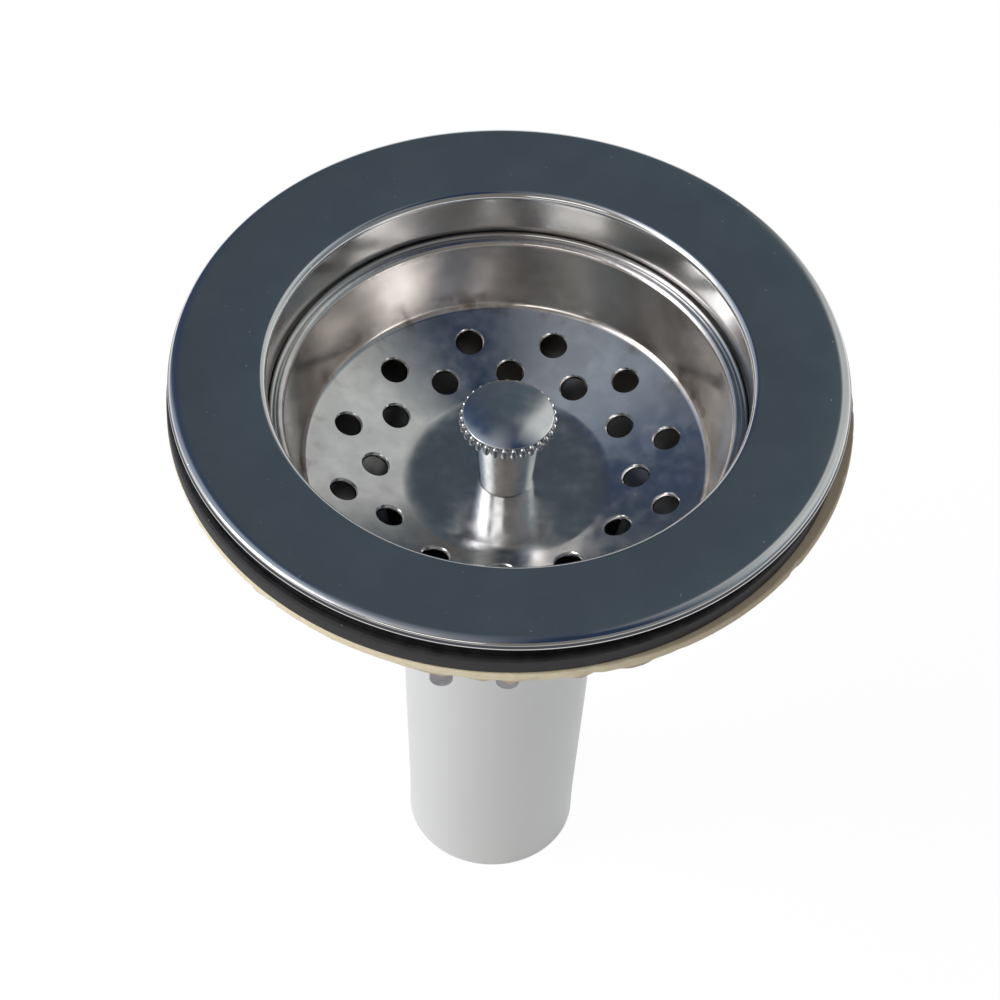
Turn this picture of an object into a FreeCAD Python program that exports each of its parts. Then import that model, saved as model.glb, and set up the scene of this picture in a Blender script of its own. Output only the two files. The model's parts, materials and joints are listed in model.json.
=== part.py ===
"""Kitchen sink basket strainer, standing on the open end of its tailpiece.

A pressed steel body with a wide flange clamps the sink's deck between two rubber gaskets, a fibre
washer and a threaded lock nut. A lift-out basket hangs in it by its rim, with a rubber stopper under
its floor, and a plastic tailpiece hangs under the outlet from a coupling nut.

Millimetres, +Z up, origin at the centre of the tailpiece's open end.
"""
import FreeCAD
import Part
import Sketcher
import math
import os

Vector = FreeCAD.Vector

# Driving sizes: lengths in millimetres, and counts.
SIZES = {
    # Tailpiece: a short straight lead at the open end, a taper, and a straight run up to its flange.
    "tail_length": 78.4,
    "tail_lead_length": 5.0,
    "tail_taper_length": 36.0,
    "tail_bore_length": 25.0,
    "tail_end_radius": 15.0,
    "tail_taper": 1.5,
    "tail_wall": 2.0,
    "tail_flange_width": 2.9,
    "tail_flange_thickness": 2.0,
    "tail_washer_thickness": 1.8,
    # Outlet spud under the bowl, and the crossbar that lies in it.
    "spud_length": 7.7,
    "spud_wall": 2.3,
    "spud_lip_width": 1.8,
    "spud_lip_thickness": 1.7,
    "crossbar_thickness": 2.0,
    "crossbar_ring_width": 1.6,
    "crossbar_arm_width": 3.2,
    "crossbar_arm_count": 4,
    "crossbar_hub_radius": 9.0,
    # Coupling nut that holds the tailpiece to the spud.
    "coupling_wall": 3.0,
    "coupling_height": 11.0,
    "coupling_lip_thickness": 2.0,
    "coupling_rib_radius": 1.3,
    "coupling_rib_count": 16,
    # Pressed body: bowl floor, funnel, lower wall, basket ledge, upper wall and flange.
    "shell_gauge": 0.8,
    "floor_margin": 2.0,
    "funnel_rise": 7.0,
    "lower_wall_radius": 38.9,
    "ledge_depth": 9.8,
    "ledge_width": 1.5,
    "mouth_draft": 0.2,
    "flange_width": 16.4,
    "flange_crown_run": 3.4,
    "flange_crown_drop": 0.5,
    "flange_crown_bend": 16.0,
    "flange_rim_run": 0.5,
    "flange_rim_drop": 1.6,
    "flange_rim_bend": 0.4,
    "mouth_bend": 0.4,
    "ledge_bend": 0.3,
    "lower_wall_bend": 0.2,
    "funnel_bend": 2.0,
    "floor_bend": 2.0,
    # Rings that clamp the sink's deck.
    "upper_gasket_inset": 1.4,
    "upper_gasket_thickness": 3.6,
    "lower_gasket_overhang": 0.2,
    "lower_gasket_thickness": 3.1,
    "fibre_washer_overhang": 0.8,
    "fibre_washer_thickness": 1.8,
    # Lock nut: a flanged ring with pairs of round-footed lugs below its flange.
    "lock_nut_height": 8.2,
    "lock_nut_flange_inset": 4.5,
    "lock_nut_flange_thickness": 3.2,
    "lock_nut_wall": 5.5,
    "lug_half_width": 1.9,
    "lug_round": 1.7,
    "lug_depth": 4.5,
    "lug_spacing": 10.7,
    "lug_pair_shift": 3.6,
    "lug_root": 2.5,
    "lug_pair_count": 4,
    # Threads: one set for the body and the lock nut, one for the spud and the coupling nut.
    "bowl_thread_pitch": 2.5,
    "bowl_thread_depth": 1.1,
    "bowl_thread_root_width": 1.4,
    "bowl_thread_crest_width": 0.5,
    "spud_thread_pitch": 2.3,
    "spud_thread_depth": 1.1,
    "spud_thread_root_width": 1.25,
    "spud_thread_crest_width": 0.45,
    "thread_sink": 0.1,
    "thread_end": 1.1,
    # Basket: floor disc, sloping ring with two rows of holes, wall and rim.
    "basket_gauge": 0.7,
    "basket_depth": 17.8,
    "basket_disc_radius": 16.6,
    "basket_slope_rise": 5.3,
    "basket_wall_draft": 3.7,
    "basket_disc_bend": 3.0,
    "basket_floor_bend": 1.2,
    "basket_rim_bend": 0.4,
    "strainer_hole_radius": 2.15,
    "strainer_hole_count": 12,
    "inner_row_gap": 5.6,
    "outer_row_gap": 6.4,
    # Knob: tapered neck, toothed rim and low dome.
    "knob_foot_wall": 1.8,
    "knob_neck_flare": 0.8,
    "knob_neck_height": 13.9,
    "knob_rim_width": 3.2,
    "knob_rim_height": 2.3,
    "knob_dome_step": 0.9,
    "knob_dome_height": 1.6,
    "knob_tooth_count": 34,
    "knob_notch_radius": 0.45,
    "knob_socket_depth": 8.0,
    # Stem and what it carries under the basket.
    "stem_radius": 2.5,
    "stem_tail": 1.2,
    "seal_height": 5.2,
    "seal_overlap": 2.9,
    "seal_crown_radius": 9.0,
    "seal_thickness": 3.7,
    "seal_lip_width": 1.7,
    "seal_lip_height": 1.5,
    "backing_plate_radius": 12.0,
    "backing_plate_thickness": 1.0,
    "lock_washer_width": 2.0,
    "lock_washer_thickness": 1.2,
    "lock_washer_slit": 1.0,
    "stem_nut_wall": 2.02,
    "stem_nut_height": 3.0,
    "clip_gauge": 0.5,
    "clip_margin": 0.9,
    "clip_height": 10.0,
    "clip_shoulder": 4.2,
    "clip_bulge": 5.0,
    "clip_bulge_height": 5.0,
    "clip_foot": 3.2,
    "clip_bend": 0.4,
    # Clearances, and how far a cut runs past the wall it opens.
    "cut_overrun": 1.0,
    "fit_clearance": 0.05,
    "stem_clearance": 0.1,
    "pipe_clearance": 0.4,
    "tail_flange_clearance": 0.8,
    "thread_clearance": 0.3,
    "clamp_clearance": 0.8,
    "ledge_clearance": 0.6,
    "basket_wall_clearance": 0.6,
    "basket_rim_clearance": 0.8,
    "basket_seat_clearance": 0.1,
    "seal_clearance": 0.3,
    "clip_clearance": 0.4,
}

# Radii and heights worked out from the driving sizes. Heights of pieces are above the origin,
# and heights within a piece are above that piece's own base.
PLACES = {
    # Tailpiece and spud.
    "tail_top_radius": "tail_end_radius + tail_taper",
    "tail_flange_radius": "tail_top_radius + tail_flange_width",
    "tail_end_bore": "tail_end_radius - tail_wall",
    "tail_top_bore": "tail_top_radius - tail_wall",
    "tail_taper_top": "tail_lead_length + tail_taper_length",
    "tail_bore_taper_top": "tail_bore_length + tail_taper_length",
    "tail_flange_base": "tail_length - tail_flange_thickness",
    "spud_base": "tail_length + tail_washer_thickness",
    "spud_root_radius": "coupling_ridge_top - thread_clearance",
    "spud_thread_radius": "spud_root_radius + spud_thread_depth",
    "spud_bore": "spud_root_radius - spud_wall",
    "spud_lip_bore": "spud_bore - spud_lip_width",
    "crossbar_base": "spud_base + spud_lip_thickness",
    "crossbar_radius": "spud_bore - fit_clearance",
    "crossbar_ring_bore": "crossbar_radius - crossbar_ring_width",
    "crossbar_arm_reach": "crossbar_radius - crossbar_ring_width / 2",
    "crossbar_hub_bore": "sqrt(clip_bulge * clip_bulge + clip_width * clip_width / 4) + clip_clearance",
    # Coupling nut.
    "coupling_base": "tail_flange_base - coupling_lip_thickness",
    "coupling_lip_bore": "tail_top_radius + pipe_clearance",
    "coupling_bore": "spud_thread_radius + thread_clearance",
    "coupling_radius": "coupling_bore + coupling_wall",
    # Body: its floor carries the stopper, and its ledge carries the basket.
    "seal_radius": "spud_bore + seal_overlap",
    "floor_radius": "seal_radius + floor_margin",
    "ledge_radius": "lower_wall_radius + ledge_width",
    "mouth_radius": "ledge_radius + mouth_draft",
    "flange_radius": "mouth_radius + flange_width",
    "bowl_depth": "seal_clearance + seal_height + basket_depth - basket_seat_clearance + ledge_depth",
    "shell_base": "spud_base + spud_length",
    "funnel_top": "shell_gauge + funnel_rise",
    "shell_top": "shell_gauge + bowl_depth",
    "ledge_height": "shell_top - ledge_depth",
    "flange_edge_height": "shell_top - flange_rim_drop",
    "flange_rim_radius": "flange_radius - flange_rim_run",
    "flange_rim_height": "shell_top - flange_crown_drop",
    "flange_crown_radius": "flange_rim_radius - flange_crown_run",
    "lower_wall_outside": "lower_wall_radius + shell_gauge",
    # Clamp rings, from the flange down.
    "clamp_bore": "ledge_radius + shell_gauge + clamp_clearance",
    "upper_gasket_radius": "flange_crown_radius - upper_gasket_inset",
    "lower_gasket_radius": "flange_radius + lower_gasket_overhang",
    "fibre_washer_radius": "lower_gasket_radius + fibre_washer_overhang",
    "upper_gasket_base": "shell_base + shell_top - shell_gauge - upper_gasket_thickness",
    "lower_gasket_base": "upper_gasket_base - lower_gasket_thickness",
    "fibre_washer_base": "lower_gasket_base - fibre_washer_thickness",
    "lock_nut_base": "fibre_washer_base - lock_nut_height",
    "lock_nut_hub_radius": "clamp_bore + lock_nut_wall",
    "lock_nut_flange_radius": "fibre_washer_radius - lock_nut_flange_inset",
    "lock_nut_flange_base": "lock_nut_height - lock_nut_flange_thickness",
    "lock_nut_recess": "fibre_washer_base - shell_base - ledge_height + shell_gauge + ledge_clearance",
    "lock_nut_recess_base": "lock_nut_height - lock_nut_recess",
    "lock_nut_bore": "bowl_thread_top + thread_clearance",
    "lug_foot": "lock_nut_flange_base - lug_depth",
    "lug_head": "lock_nut_flange_base + lock_nut_flange_thickness / 2",
    "lug_start": "lock_nut_hub_radius - lug_root",
    "lug_length": "lock_nut_flange_radius - lug_start",
    "lug_left_start": "-lug_pair_shift - lug_spacing / 2 - lug_half_width",
    "lug_left_end": "-lug_pair_shift - lug_spacing / 2 + lug_half_width",
    "lug_right_start": "-lug_pair_shift + lug_spacing / 2 - lug_half_width",
    "lug_right_end": "-lug_pair_shift + lug_spacing / 2 + lug_half_width",
    # Thread of the body and the ridge in the lock nut that runs between its turns.
    "bowl_thread_foot": "lower_wall_outside - thread_sink",
    "bowl_thread_top": "lower_wall_outside + bowl_thread_depth",
    "bowl_thread_slope": "(bowl_thread_root_width - bowl_thread_crest_width)"
                         " / (bowl_thread_depth + thread_sink)",
    "lock_ridge_foot": "lock_nut_bore + thread_sink",
    "lock_ridge_top": "lower_wall_outside + thread_clearance",
    "lock_ridge_crest_width": "bowl_thread_pitch - 2 * thread_clearance - bowl_thread_root_width"
                              " + bowl_thread_slope * (lock_ridge_top - bowl_thread_foot)",
    "lock_ridge_root_width": "bowl_thread_pitch - 2 * thread_clearance - bowl_thread_root_width"
                             " + bowl_thread_slope * (lock_ridge_foot - bowl_thread_foot)",
    "lock_ridge_base": "thread_end - lock_ridge_root_width / 2",
    "lock_ridge_height": "lock_nut_recess_base - 2 * thread_end",
    "bowl_thread_lowest": "funnel_top + funnel_bend + thread_end / 2",
    "bowl_thread_gap": "lock_nut_base + thread_end - shell_base - bowl_thread_lowest",
    "bowl_thread_turns": "floor(bowl_thread_gap / bowl_thread_pitch - 0.5) + 0.5",
    "bowl_thread_start": "bowl_thread_lowest + bowl_thread_gap - bowl_thread_turns * bowl_thread_pitch",
    "bowl_thread_base": "bowl_thread_start - bowl_thread_root_width / 2",
    "bowl_thread_height": "ledge_height - shell_gauge - thread_end - bowl_thread_start",
    # Thread of the spud and the ridge in the coupling nut.
    "spud_thread_foot": "spud_root_radius - thread_sink",
    "spud_thread_slope": "(spud_thread_root_width - spud_thread_crest_width)"
                         " / (spud_thread_depth + thread_sink)",
    "spud_thread_base": "thread_end - spud_thread_root_width / 2",
    "spud_thread_height": "spud_length - 2 * thread_end",
    "coupling_ridge_foot": "coupling_bore + thread_sink",
    "coupling_ridge_top": "tail_flange_radius + tail_flange_clearance",
    "coupling_ridge_crest_width": "spud_thread_pitch - 2 * thread_clearance - spud_thread_root_width"
                                  " + spud_thread_slope * (coupling_ridge_top - spud_thread_foot)",
    "coupling_ridge_root_width": "spud_thread_pitch - 2 * thread_clearance - spud_thread_root_width"
                                 " + spud_thread_slope * (coupling_ridge_foot - spud_thread_foot)",
    "coupling_ridge_lowest": "coupling_lip_thickness + thread_end",
    "coupling_thread_gap": "spud_base + thread_end - coupling_base - coupling_ridge_lowest",
    "coupling_thread_turns": "floor(coupling_thread_gap / spud_thread_pitch - 0.5) + 0.5",
    "coupling_ridge_start": "coupling_ridge_lowest + coupling_thread_gap"
                            " - coupling_thread_turns * spud_thread_pitch",
    "coupling_ridge_base": "coupling_ridge_start - coupling_ridge_root_width / 2",
    "coupling_ridge_height": "coupling_height - thread_end - coupling_ridge_start",
    # Basket and knob.
    "basket_base": "shell_base + ledge_height + basket_seat_clearance - basket_depth",
    "basket_wall_radius": "lower_wall_radius - basket_wall_clearance",
    "basket_rim_radius": "ledge_radius - basket_rim_clearance",
    "basket_floor_radius": "basket_wall_radius - basket_wall_draft",
    "inner_row_radius": "basket_disc_radius + inner_row_gap",
    "outer_row_radius": "basket_floor_radius - outer_row_gap",
    "basket_floor_height": "basket_gauge + basket_slope_rise",
    "basket_rim_height": "basket_gauge + basket_depth",
    "outer_hole_across": "outer_row_radius * cos(180 / strainer_hole_count)",
    "outer_hole_up": "outer_row_radius * sin(180 / strainer_hole_count)",
    "stem_hole_radius": "stem_radius + stem_clearance",
    "knob_base": "basket_base + basket_gauge",
    "knob_foot_radius": "stem_hole_radius + knob_foot_wall",
    "knob_neck_radius": "knob_foot_radius + knob_neck_flare",
    "knob_rim_radius": "knob_neck_radius + knob_rim_width",
    "knob_dome_radius": "knob_rim_radius - knob_dome_step",
    "knob_rim_top": "knob_neck_height + knob_rim_height",
    "knob_top": "knob_rim_top + knob_dome_height",
    "knob_dome_bend": "(knob_dome_radius * knob_dome_radius + knob_dome_height * knob_dome_height)"
                      " / (2 * knob_dome_height)",
    # Stack under the basket, from its floor down.
    "seal_base": "basket_base - seal_height",
    "seal_centre_base": "seal_height - seal_thickness",
    "seal_lip_bore": "seal_radius - seal_lip_width",
    "backing_plate_base": "basket_base - seal_thickness - backing_plate_thickness",
    "lock_washer_base": "backing_plate_base - lock_washer_thickness",
    "stem_nut_base": "lock_washer_base - stem_nut_height",
    "clip_base": "stem_nut_base - clip_height",
    "stem_base": "stem_nut_base - clip_gauge - stem_tail",
    "stem_length": "knob_base + knob_socket_depth - stem_clearance - stem_base",
    "lock_washer_radius": "stem_hole_radius + lock_washer_width",
    "lock_washer_reach": "lock_washer_radius + cut_overrun",
    "stem_nut_corner_radius": "stem_hole_radius + stem_nut_wall",
    "clip_width": "2 * (stem_hole_radius + clip_margin)",
    "clip_back": "-clip_width / 2",
    "clip_left_foot": "-clip_foot",
    "clip_left_bulge": "-clip_bulge",
    "clip_left_shoulder": "-clip_shoulder",
}

document = FreeCAD.newDocument("SinkStrainer")
sheet = document.addObject("Spreadsheet::Sheet", "Sizes")
sub_parts = []


def fill_sheet():
    """One row for each size: its name in column A and its value, under that name, in column B."""
    cells = {name: str(value) for name, value in SIZES.items()}
    cells.update({name: "=" + formula for name, formula in PLACES.items()})
    for row, name in enumerate(cells, start=1):
        sheet.set(f"A{row}", name)
        sheet.setAlias(f"B{row}", name)
    for row, content in enumerate(cells.values(), start=1):
        sheet.set(f"B{row}", content)
    document.recompute()


def number(name):
    """The sheet's value under a name, and zero for the axis or the base plane."""
    return 0.0 if name == "0" else float(sheet.get(name))


def bind(item, setting, name):
    """Tie one setting of an item to the sheet."""
    item.setExpression(setting, "Sizes." + name)


def new_body(label, base):
    """An empty sub-part that stands at a named height."""
    body = document.addObject("PartDesign::Body", label)
    body.Label = label
    if base != "0":
        bind(body, "Placement.Base.z", base)
    sub_parts.append(body)
    return body


def origin_of(body, role):
    """One of the body's own origin planes or axes."""
    return next(item for item in body.Origin.OriginFeatures if item.Role == role)


def new_sketch(body, name, role, height="0"):
    """A sketch on one of the body's planes, lifted off it by a named height."""
    sketch = body.newObject("Sketcher::SketchObject", name)
    sketch.AttachmentSupport = [(origin_of(body, role), "")]
    sketch.MapMode = "FlatFace"
    if height != "0":
        bind(sketch, "AttachmentOffset.Base.z", height)
    return sketch


def constrain(sketch, kind, *arguments, name=None):
    """Add one constraint and tie its value, where it has one, to the sheet."""
    index = sketch.addConstraint(Sketcher.Constraint(kind, *arguments))
    if name:
        bind(sketch, f"Constraints[{index}]", name)


def locate(sketch, geometry, position, across, up):
    """Hold a point at named distances from the sketch's origin."""
    for kind, axis, name in (("DistanceX", -2, across), ("DistanceY", -1, up)):
        if name == "0":
            constrain(sketch, "PointOnObject", geometry, position, axis)
        else:
            constrain(sketch, kind, -1, 1, geometry, position, number(name), name=name)


def draw_circle(sketch, radius, across="0", up="0"):
    """A circle of a named radius about a named point."""
    centre = Vector(number(across), number(up), 0)
    circle = sketch.addGeometry(Part.Circle(centre, Vector(0, 0, 1), number(radius)), False)
    constrain(sketch, "Radius", circle, number(radius), name=radius)
    locate(sketch, circle, 3, across, up)


def draw_outline(sketch, corners, rounds, round_names):
    """Draw a closed outline whose rounded corners are tangent arcs.

    Returns the line that follows each corner and, for each corner, the point that holds it.
    """
    count = len(corners)
    back = [(corners[i - 1] - corners[i]).normalize() for i in range(count)]
    ahead = [(corners[(i + 1) % count] - corners[i]).normalize() for i in range(count)]
    half = [back[i].getAngle(ahead[i]) / 2 for i in range(count)]
    trims = [rounds[i] / math.tan(half[i]) for i in range(count)]
    lines = []
    for i in range(count):
        after = (i + 1) % count
        start = corners[i] + ahead[i] * trims[i]
        end = corners[after] + back[after] * trims[after]
        lines.append(sketch.addGeometry(Part.LineSegment(start, end), False))
    holders = []
    for i in range(count):
        line_in, line_out = lines[i - 1], lines[i]
        if not rounds[i]:
            constrain(sketch, "Coincident", line_in, 2, line_out, 1)
            holders.append((line_out, 1))
            continue
        middle = (back[i] + ahead[i]).normalize()
        centre = corners[i] + middle * (rounds[i] / math.sin(half[i]))
        ends = [corners[i] + back[i] * trims[i], corners[i] + ahead[i] * trims[i]]
        turns_left = ahead[i].cross(back[i]).z > 0
        first, last = ends if turns_left else reversed(ends)
        circle = Part.Circle(centre, Vector(0, 0, 1), rounds[i])
        bend = Part.ArcOfCircle(circle, circle.parameter(first), circle.parameter(last))
        arc = sketch.addGeometry(bend, False)
        constrain(sketch, "Tangent", line_in, 2, arc, 1 if turns_left else 2)
        constrain(sketch, "Tangent", line_out, 1, arc, 2 if turns_left else 1)
        constrain(sketch, "Radius", arc, rounds[i], name=round_names[i])
        point = sketch.addGeometry(Part.Point(corners[i]), True)
        constrain(sketch, "PointOnObject", point, 1, line_in)
        constrain(sketch, "PointOnObject", point, 1, line_out)
        holders.append((point, 1))
    return lines, holders


def draw_sharp_outline(sketch, corners):
    """Draw a closed outline with no rounds, and return the line that follows each corner."""
    return draw_outline(sketch, corners, [0.0] * len(corners), ["0"] * len(corners))[0]


def outline(sketch, corners):
    """An outline through named corners: across, up and, where it is rounded, the round."""
    places = [Vector(number(corner[0]), number(corner[1]), 0) for corner in corners]
    round_names = [corner[2] if len(corner) > 2 else "0" for corner in corners]
    rounds = [number(name) for name in round_names]
    holders = draw_outline(sketch, places, rounds, round_names)[1]
    for (geometry, position), corner in zip(holders, corners):
        locate(sketch, geometry, position, corner[0], corner[1])


def pressed_outline(sketch, path, gauge):
    """Section of a pressed sheet: its face runs through the path and its back lies one gauge away."""
    face = [Vector(number(point[0]), number(point[1]), 0) for point in path]
    thickness = number(gauge)
    last = len(face) - 1
    runs = [(face[i + 1] - face[i]).normalize() for i in range(last)]
    sides = [Vector(run.y, -run.x, 0) for run in runs]
    backs = [face[0] + sides[0] * thickness]
    sharp = ("0", 0.0)
    face_bends = [sharp]
    back_bends = [sharp]
    for i in range(1, last):
        mitre = (sides[i - 1] + sides[i]).normalize()
        backs.append(face[i] + mitre * (thickness / mitre.dot(sides[i])))
        bend = path[i][2]
        inside = (bend, number(bend))
        outside = (f"{bend} + Sizes.{gauge}", number(bend) + thickness)
        turns_left = runs[i - 1].cross(runs[i]).z > 0
        face_bends.append(inside if turns_left else outside)
        back_bends.append(outside if turns_left else inside)
    backs.append(face[last] + sides[-1] * thickness)
    corners = face + backs[::-1]
    bends = face_bends + [sharp, sharp] + back_bends[:0:-1] + [sharp]
    lines, holders = draw_outline(sketch, corners, [bend[1] for bend in bends], [bend[0] for bend in bends])
    for (geometry, position), point in zip(holders, path):
        locate(sketch, geometry, position, point[0], point[1])
    for i in range(last):
        face_line, back_line = lines[i], lines[2 * last - i]
        constrain(sketch, "Parallel", face_line, back_line)
        constrain(sketch, "Distance", back_line, 1, face_line, thickness, name=gauge)
    constrain(sketch, "Perpendicular", lines[last], lines[last - 1])
    constrain(sketch, "Perpendicular", lines[2 * last + 1], lines[0])


def turn(body, sketch, name):
    """Turn a sketch about the upright axis."""
    turned = body.newObject("PartDesign::Revolution", name)
    turned.Profile = sketch
    turned.ReferenceAxis = (sketch, ["V_Axis"])
    turned.Angle = 360
    document.recompute()
    return turned


def turned_body(label, base, corners):
    """A sub-part turned from an outline."""
    body = new_body(label, base)
    sketch = new_sketch(body, label + "_section", "XZ_Plane")
    outline(sketch, corners)
    turn(body, sketch, label + "_turned")
    return body


def pressed_body(label, base, path, gauge):
    """A sub-part pressed from sheet."""
    body = new_body(label, base)
    sketch = new_sketch(body, label + "_section", "XZ_Plane")
    pressed_outline(sketch, path, gauge)
    turn(body, sketch, label + "_pressed")
    return body


def pad(body, sketch, name, length):
    """Raise a sketch by a named length."""
    raised = body.newObject("PartDesign::Pad", name)
    raised.Profile = sketch
    bind(raised, "Length", length)
    document.recompute()
    return raised


def pocket_through(body, sketch, name):
    """Cut a sketch down through the whole body."""
    before = body.Shape.Volume
    cut = body.newObject("PartDesign::Pocket", name)
    cut.Profile = sketch
    cut.Type = "ThroughAll"
    document.recompute()
    if not body.Shape.Volume < before:
        raise RuntimeError(name + " cut nothing")
    return cut


def around(body, feature, name, count):
    """Repeat a feature evenly about the upright axis."""
    pattern = body.newObject("PartDesign::PolarPattern", name)
    pattern.Originals = [feature]
    pattern.Axis = (origin_of(body, "Z_Axis"), [""])
    pattern.Angle = 360
    bind(pattern, "Occurrences", count)
    body.Tip = pattern
    document.recompute()
    return pattern


def ring(label, base, outer, inner, thickness):
    """A flat ring."""
    body = new_body(label, base)
    sketch = new_sketch(body, label + "_section", "XY_Plane")
    draw_circle(sketch, outer)
    draw_circle(sketch, inner)
    pad(body, sketch, label + "_raised", thickness)
    return body


def thread(body, name, foot, top, base, widths, pitch, height):
    """A right-handed ridge wound on a wall, from its foot in the wall to its top."""
    root_width, crest_width = widths
    sketch = new_sketch(body, name + "_section", "XZ_Plane")
    low = number(base)
    high = low + number(root_width)
    step = (number(root_width) - number(crest_width)) / 2
    corners = [
        Vector(number(foot), low, 0),
        Vector(number(top), low + step, 0),
        Vector(number(top), high - step, 0),
        Vector(number(foot), high, 0),
    ]
    lower_flank, crest, upper_flank, root = draw_sharp_outline(sketch, corners)
    locate(sketch, lower_flank, 1, foot, base)
    constrain(sketch, "Vertical", crest)
    constrain(sketch, "Vertical", root)
    constrain(sketch, "DistanceX", -1, 1, crest, 1, number(top), name=top)
    constrain(sketch, "DistanceY", crest, 1, crest, 2, number(crest_width), name=crest_width)
    constrain(sketch, "DistanceY", root, 2, root, 1, number(root_width), name=root_width)
    constrain(sketch, "Equal", lower_flank, upper_flank)
    wound = body.newObject("PartDesign::AdditiveHelix", name)
    wound.Profile = sketch
    wound.ReferenceAxis = (sketch, ["V_Axis"])
    wound.Mode = "pitch-height-angle"
    bind(wound, "Pitch", pitch)
    bind(wound, "Height", height)
    document.recompute()


def make_tailpiece():
    """White plastic pipe with a flange at its top."""
    turned_body("tailpiece", "0", [
        ("tail_end_bore", "0"),
        ("tail_end_radius", "0"),
        ("tail_end_radius", "tail_lead_length"),
        ("tail_top_radius", "tail_taper_top"),
        ("tail_top_radius", "tail_flange_base"),
        ("tail_flange_radius", "tail_flange_base"),
        ("tail_flange_radius", "tail_length"),
        ("tail_top_bore", "tail_length"),
        ("tail_top_bore", "tail_bore_taper_top"),
        ("tail_end_bore", "tail_bore_length"),
    ])


def make_outlet():
    """Threaded spud under the bowl, the crossbar that lies on its lip, and the tail washer."""
    ring("tail_washer", "tail_length", "tail_flange_radius", "spud_lip_bore", "tail_washer_thickness")
    spud = turned_body("outlet_spud", "spud_base", [
        ("spud_lip_bore", "0"),
        ("spud_root_radius", "0"),
        ("spud_root_radius", "spud_length"),
        ("spud_bore", "spud_length"),
        ("spud_bore", "spud_lip_thickness"),
        ("spud_lip_bore", "spud_lip_thickness"),
    ])
    thread(spud, "spud_thread", "spud_thread_foot", "spud_thread_radius", "spud_thread_base",
           ("spud_thread_root_width", "spud_thread_crest_width"), "spud_thread_pitch", "spud_thread_height")


def make_crossbar():
    """Ring, arms and hub that the basket's clip passes through."""
    body = ring("outlet_crossbar", "crossbar_base", "crossbar_radius", "crossbar_ring_bore",
                "crossbar_thickness")
    arm_sketch = new_sketch(body, "crossbar_arm_plan", "XY_Plane")
    reach = number("crossbar_arm_reach")
    half_width = number("crossbar_arm_width") / 2
    corners = [Vector(0, -half_width, 0), Vector(reach, -half_width, 0),
               Vector(reach, half_width, 0), Vector(0, half_width, 0)]
    bottom, end, top, start = draw_sharp_outline(arm_sketch, corners)
    constrain(arm_sketch, "Horizontal", bottom)
    constrain(arm_sketch, "Horizontal", top)
    constrain(arm_sketch, "Vertical", end)
    constrain(arm_sketch, "Symmetric", start, 1, start, 2, -1, 1)
    constrain(arm_sketch, "DistanceX", -1, 1, end, 1, reach, name="crossbar_arm_reach")
    constrain(arm_sketch, "DistanceY", end, 1, end, 2, number("crossbar_arm_width"),
              name="crossbar_arm_width")
    arm = pad(body, arm_sketch, "crossbar_arm", "crossbar_thickness")
    around(body, arm, "crossbar_arms", "crossbar_arm_count")
    hub_sketch = new_sketch(body, "crossbar_hub_plan", "XY_Plane")
    draw_circle(hub_sketch, "crossbar_hub_radius")
    pad(body, hub_sketch, "crossbar_hub", "crossbar_thickness")
    hole_sketch = new_sketch(body, "crossbar_hole_plan", "XY_Plane", "crossbar_thickness")
    draw_circle(hole_sketch, "crossbar_hub_bore")
    pocket_through(body, hole_sketch, "crossbar_hole")


def make_coupling_nut():
    """Ribbed nut whose lip carries the tailpiece's flange."""
    body = turned_body("coupling_nut", "coupling_base", [
        ("coupling_lip_bore", "0"),
        ("coupling_radius", "0"),
        ("coupling_radius", "coupling_height"),
        ("coupling_bore", "coupling_height"),
        ("coupling_bore", "coupling_lip_thickness"),
        ("coupling_lip_bore", "coupling_lip_thickness"),
    ])
    rib_sketch = new_sketch(body, "coupling_rib_plan", "XY_Plane")
    draw_circle(rib_sketch, "coupling_rib_radius", "coupling_radius")
    rib = pad(body, rib_sketch, "coupling_rib", "coupling_height")
    around(body, rib, "coupling_ribs", "coupling_rib_count")
    thread(body, "coupling_ridge", "coupling_ridge_foot", "coupling_ridge_top", "coupling_ridge_base",
           ("coupling_ridge_root_width", "coupling_ridge_crest_width"), "spud_thread_pitch",
           "coupling_ridge_height")


def make_body_shell():
    """Pressed flange and bowl, with the thread that is rolled on its lower wall."""
    body = pressed_body("body_shell", "shell_base", [
        ("spud_bore", "shell_gauge"),
        ("floor_radius", "shell_gauge", "floor_bend"),
        ("lower_wall_radius", "funnel_top", "funnel_bend"),
        ("lower_wall_radius", "ledge_height", "lower_wall_bend"),
        ("ledge_radius", "ledge_height", "ledge_bend"),
        ("mouth_radius", "shell_top", "mouth_bend"),
        ("flange_crown_radius", "shell_top", "flange_crown_bend"),
        ("flange_rim_radius", "flange_rim_height", "flange_rim_bend"),
        ("flange_radius", "flange_edge_height"),
    ], "shell_gauge")
    thread(body, "bowl_thread", "bowl_thread_foot", "bowl_thread_top", "bowl_thread_base",
           ("bowl_thread_root_width", "bowl_thread_crest_width"), "bowl_thread_pitch", "bowl_thread_height")


def make_clamp_rings():
    """Gaskets above and below the sink's deck, and the fibre washer that the nut turns against."""
    ring("upper_gasket", "upper_gasket_base", "upper_gasket_radius", "clamp_bore", "upper_gasket_thickness")
    ring("lower_gasket", "lower_gasket_base", "lower_gasket_radius", "clamp_bore", "lower_gasket_thickness")
    ring("fibre_washer", "fibre_washer_base", "fibre_washer_radius", "clamp_bore", "fibre_washer_thickness")


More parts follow.
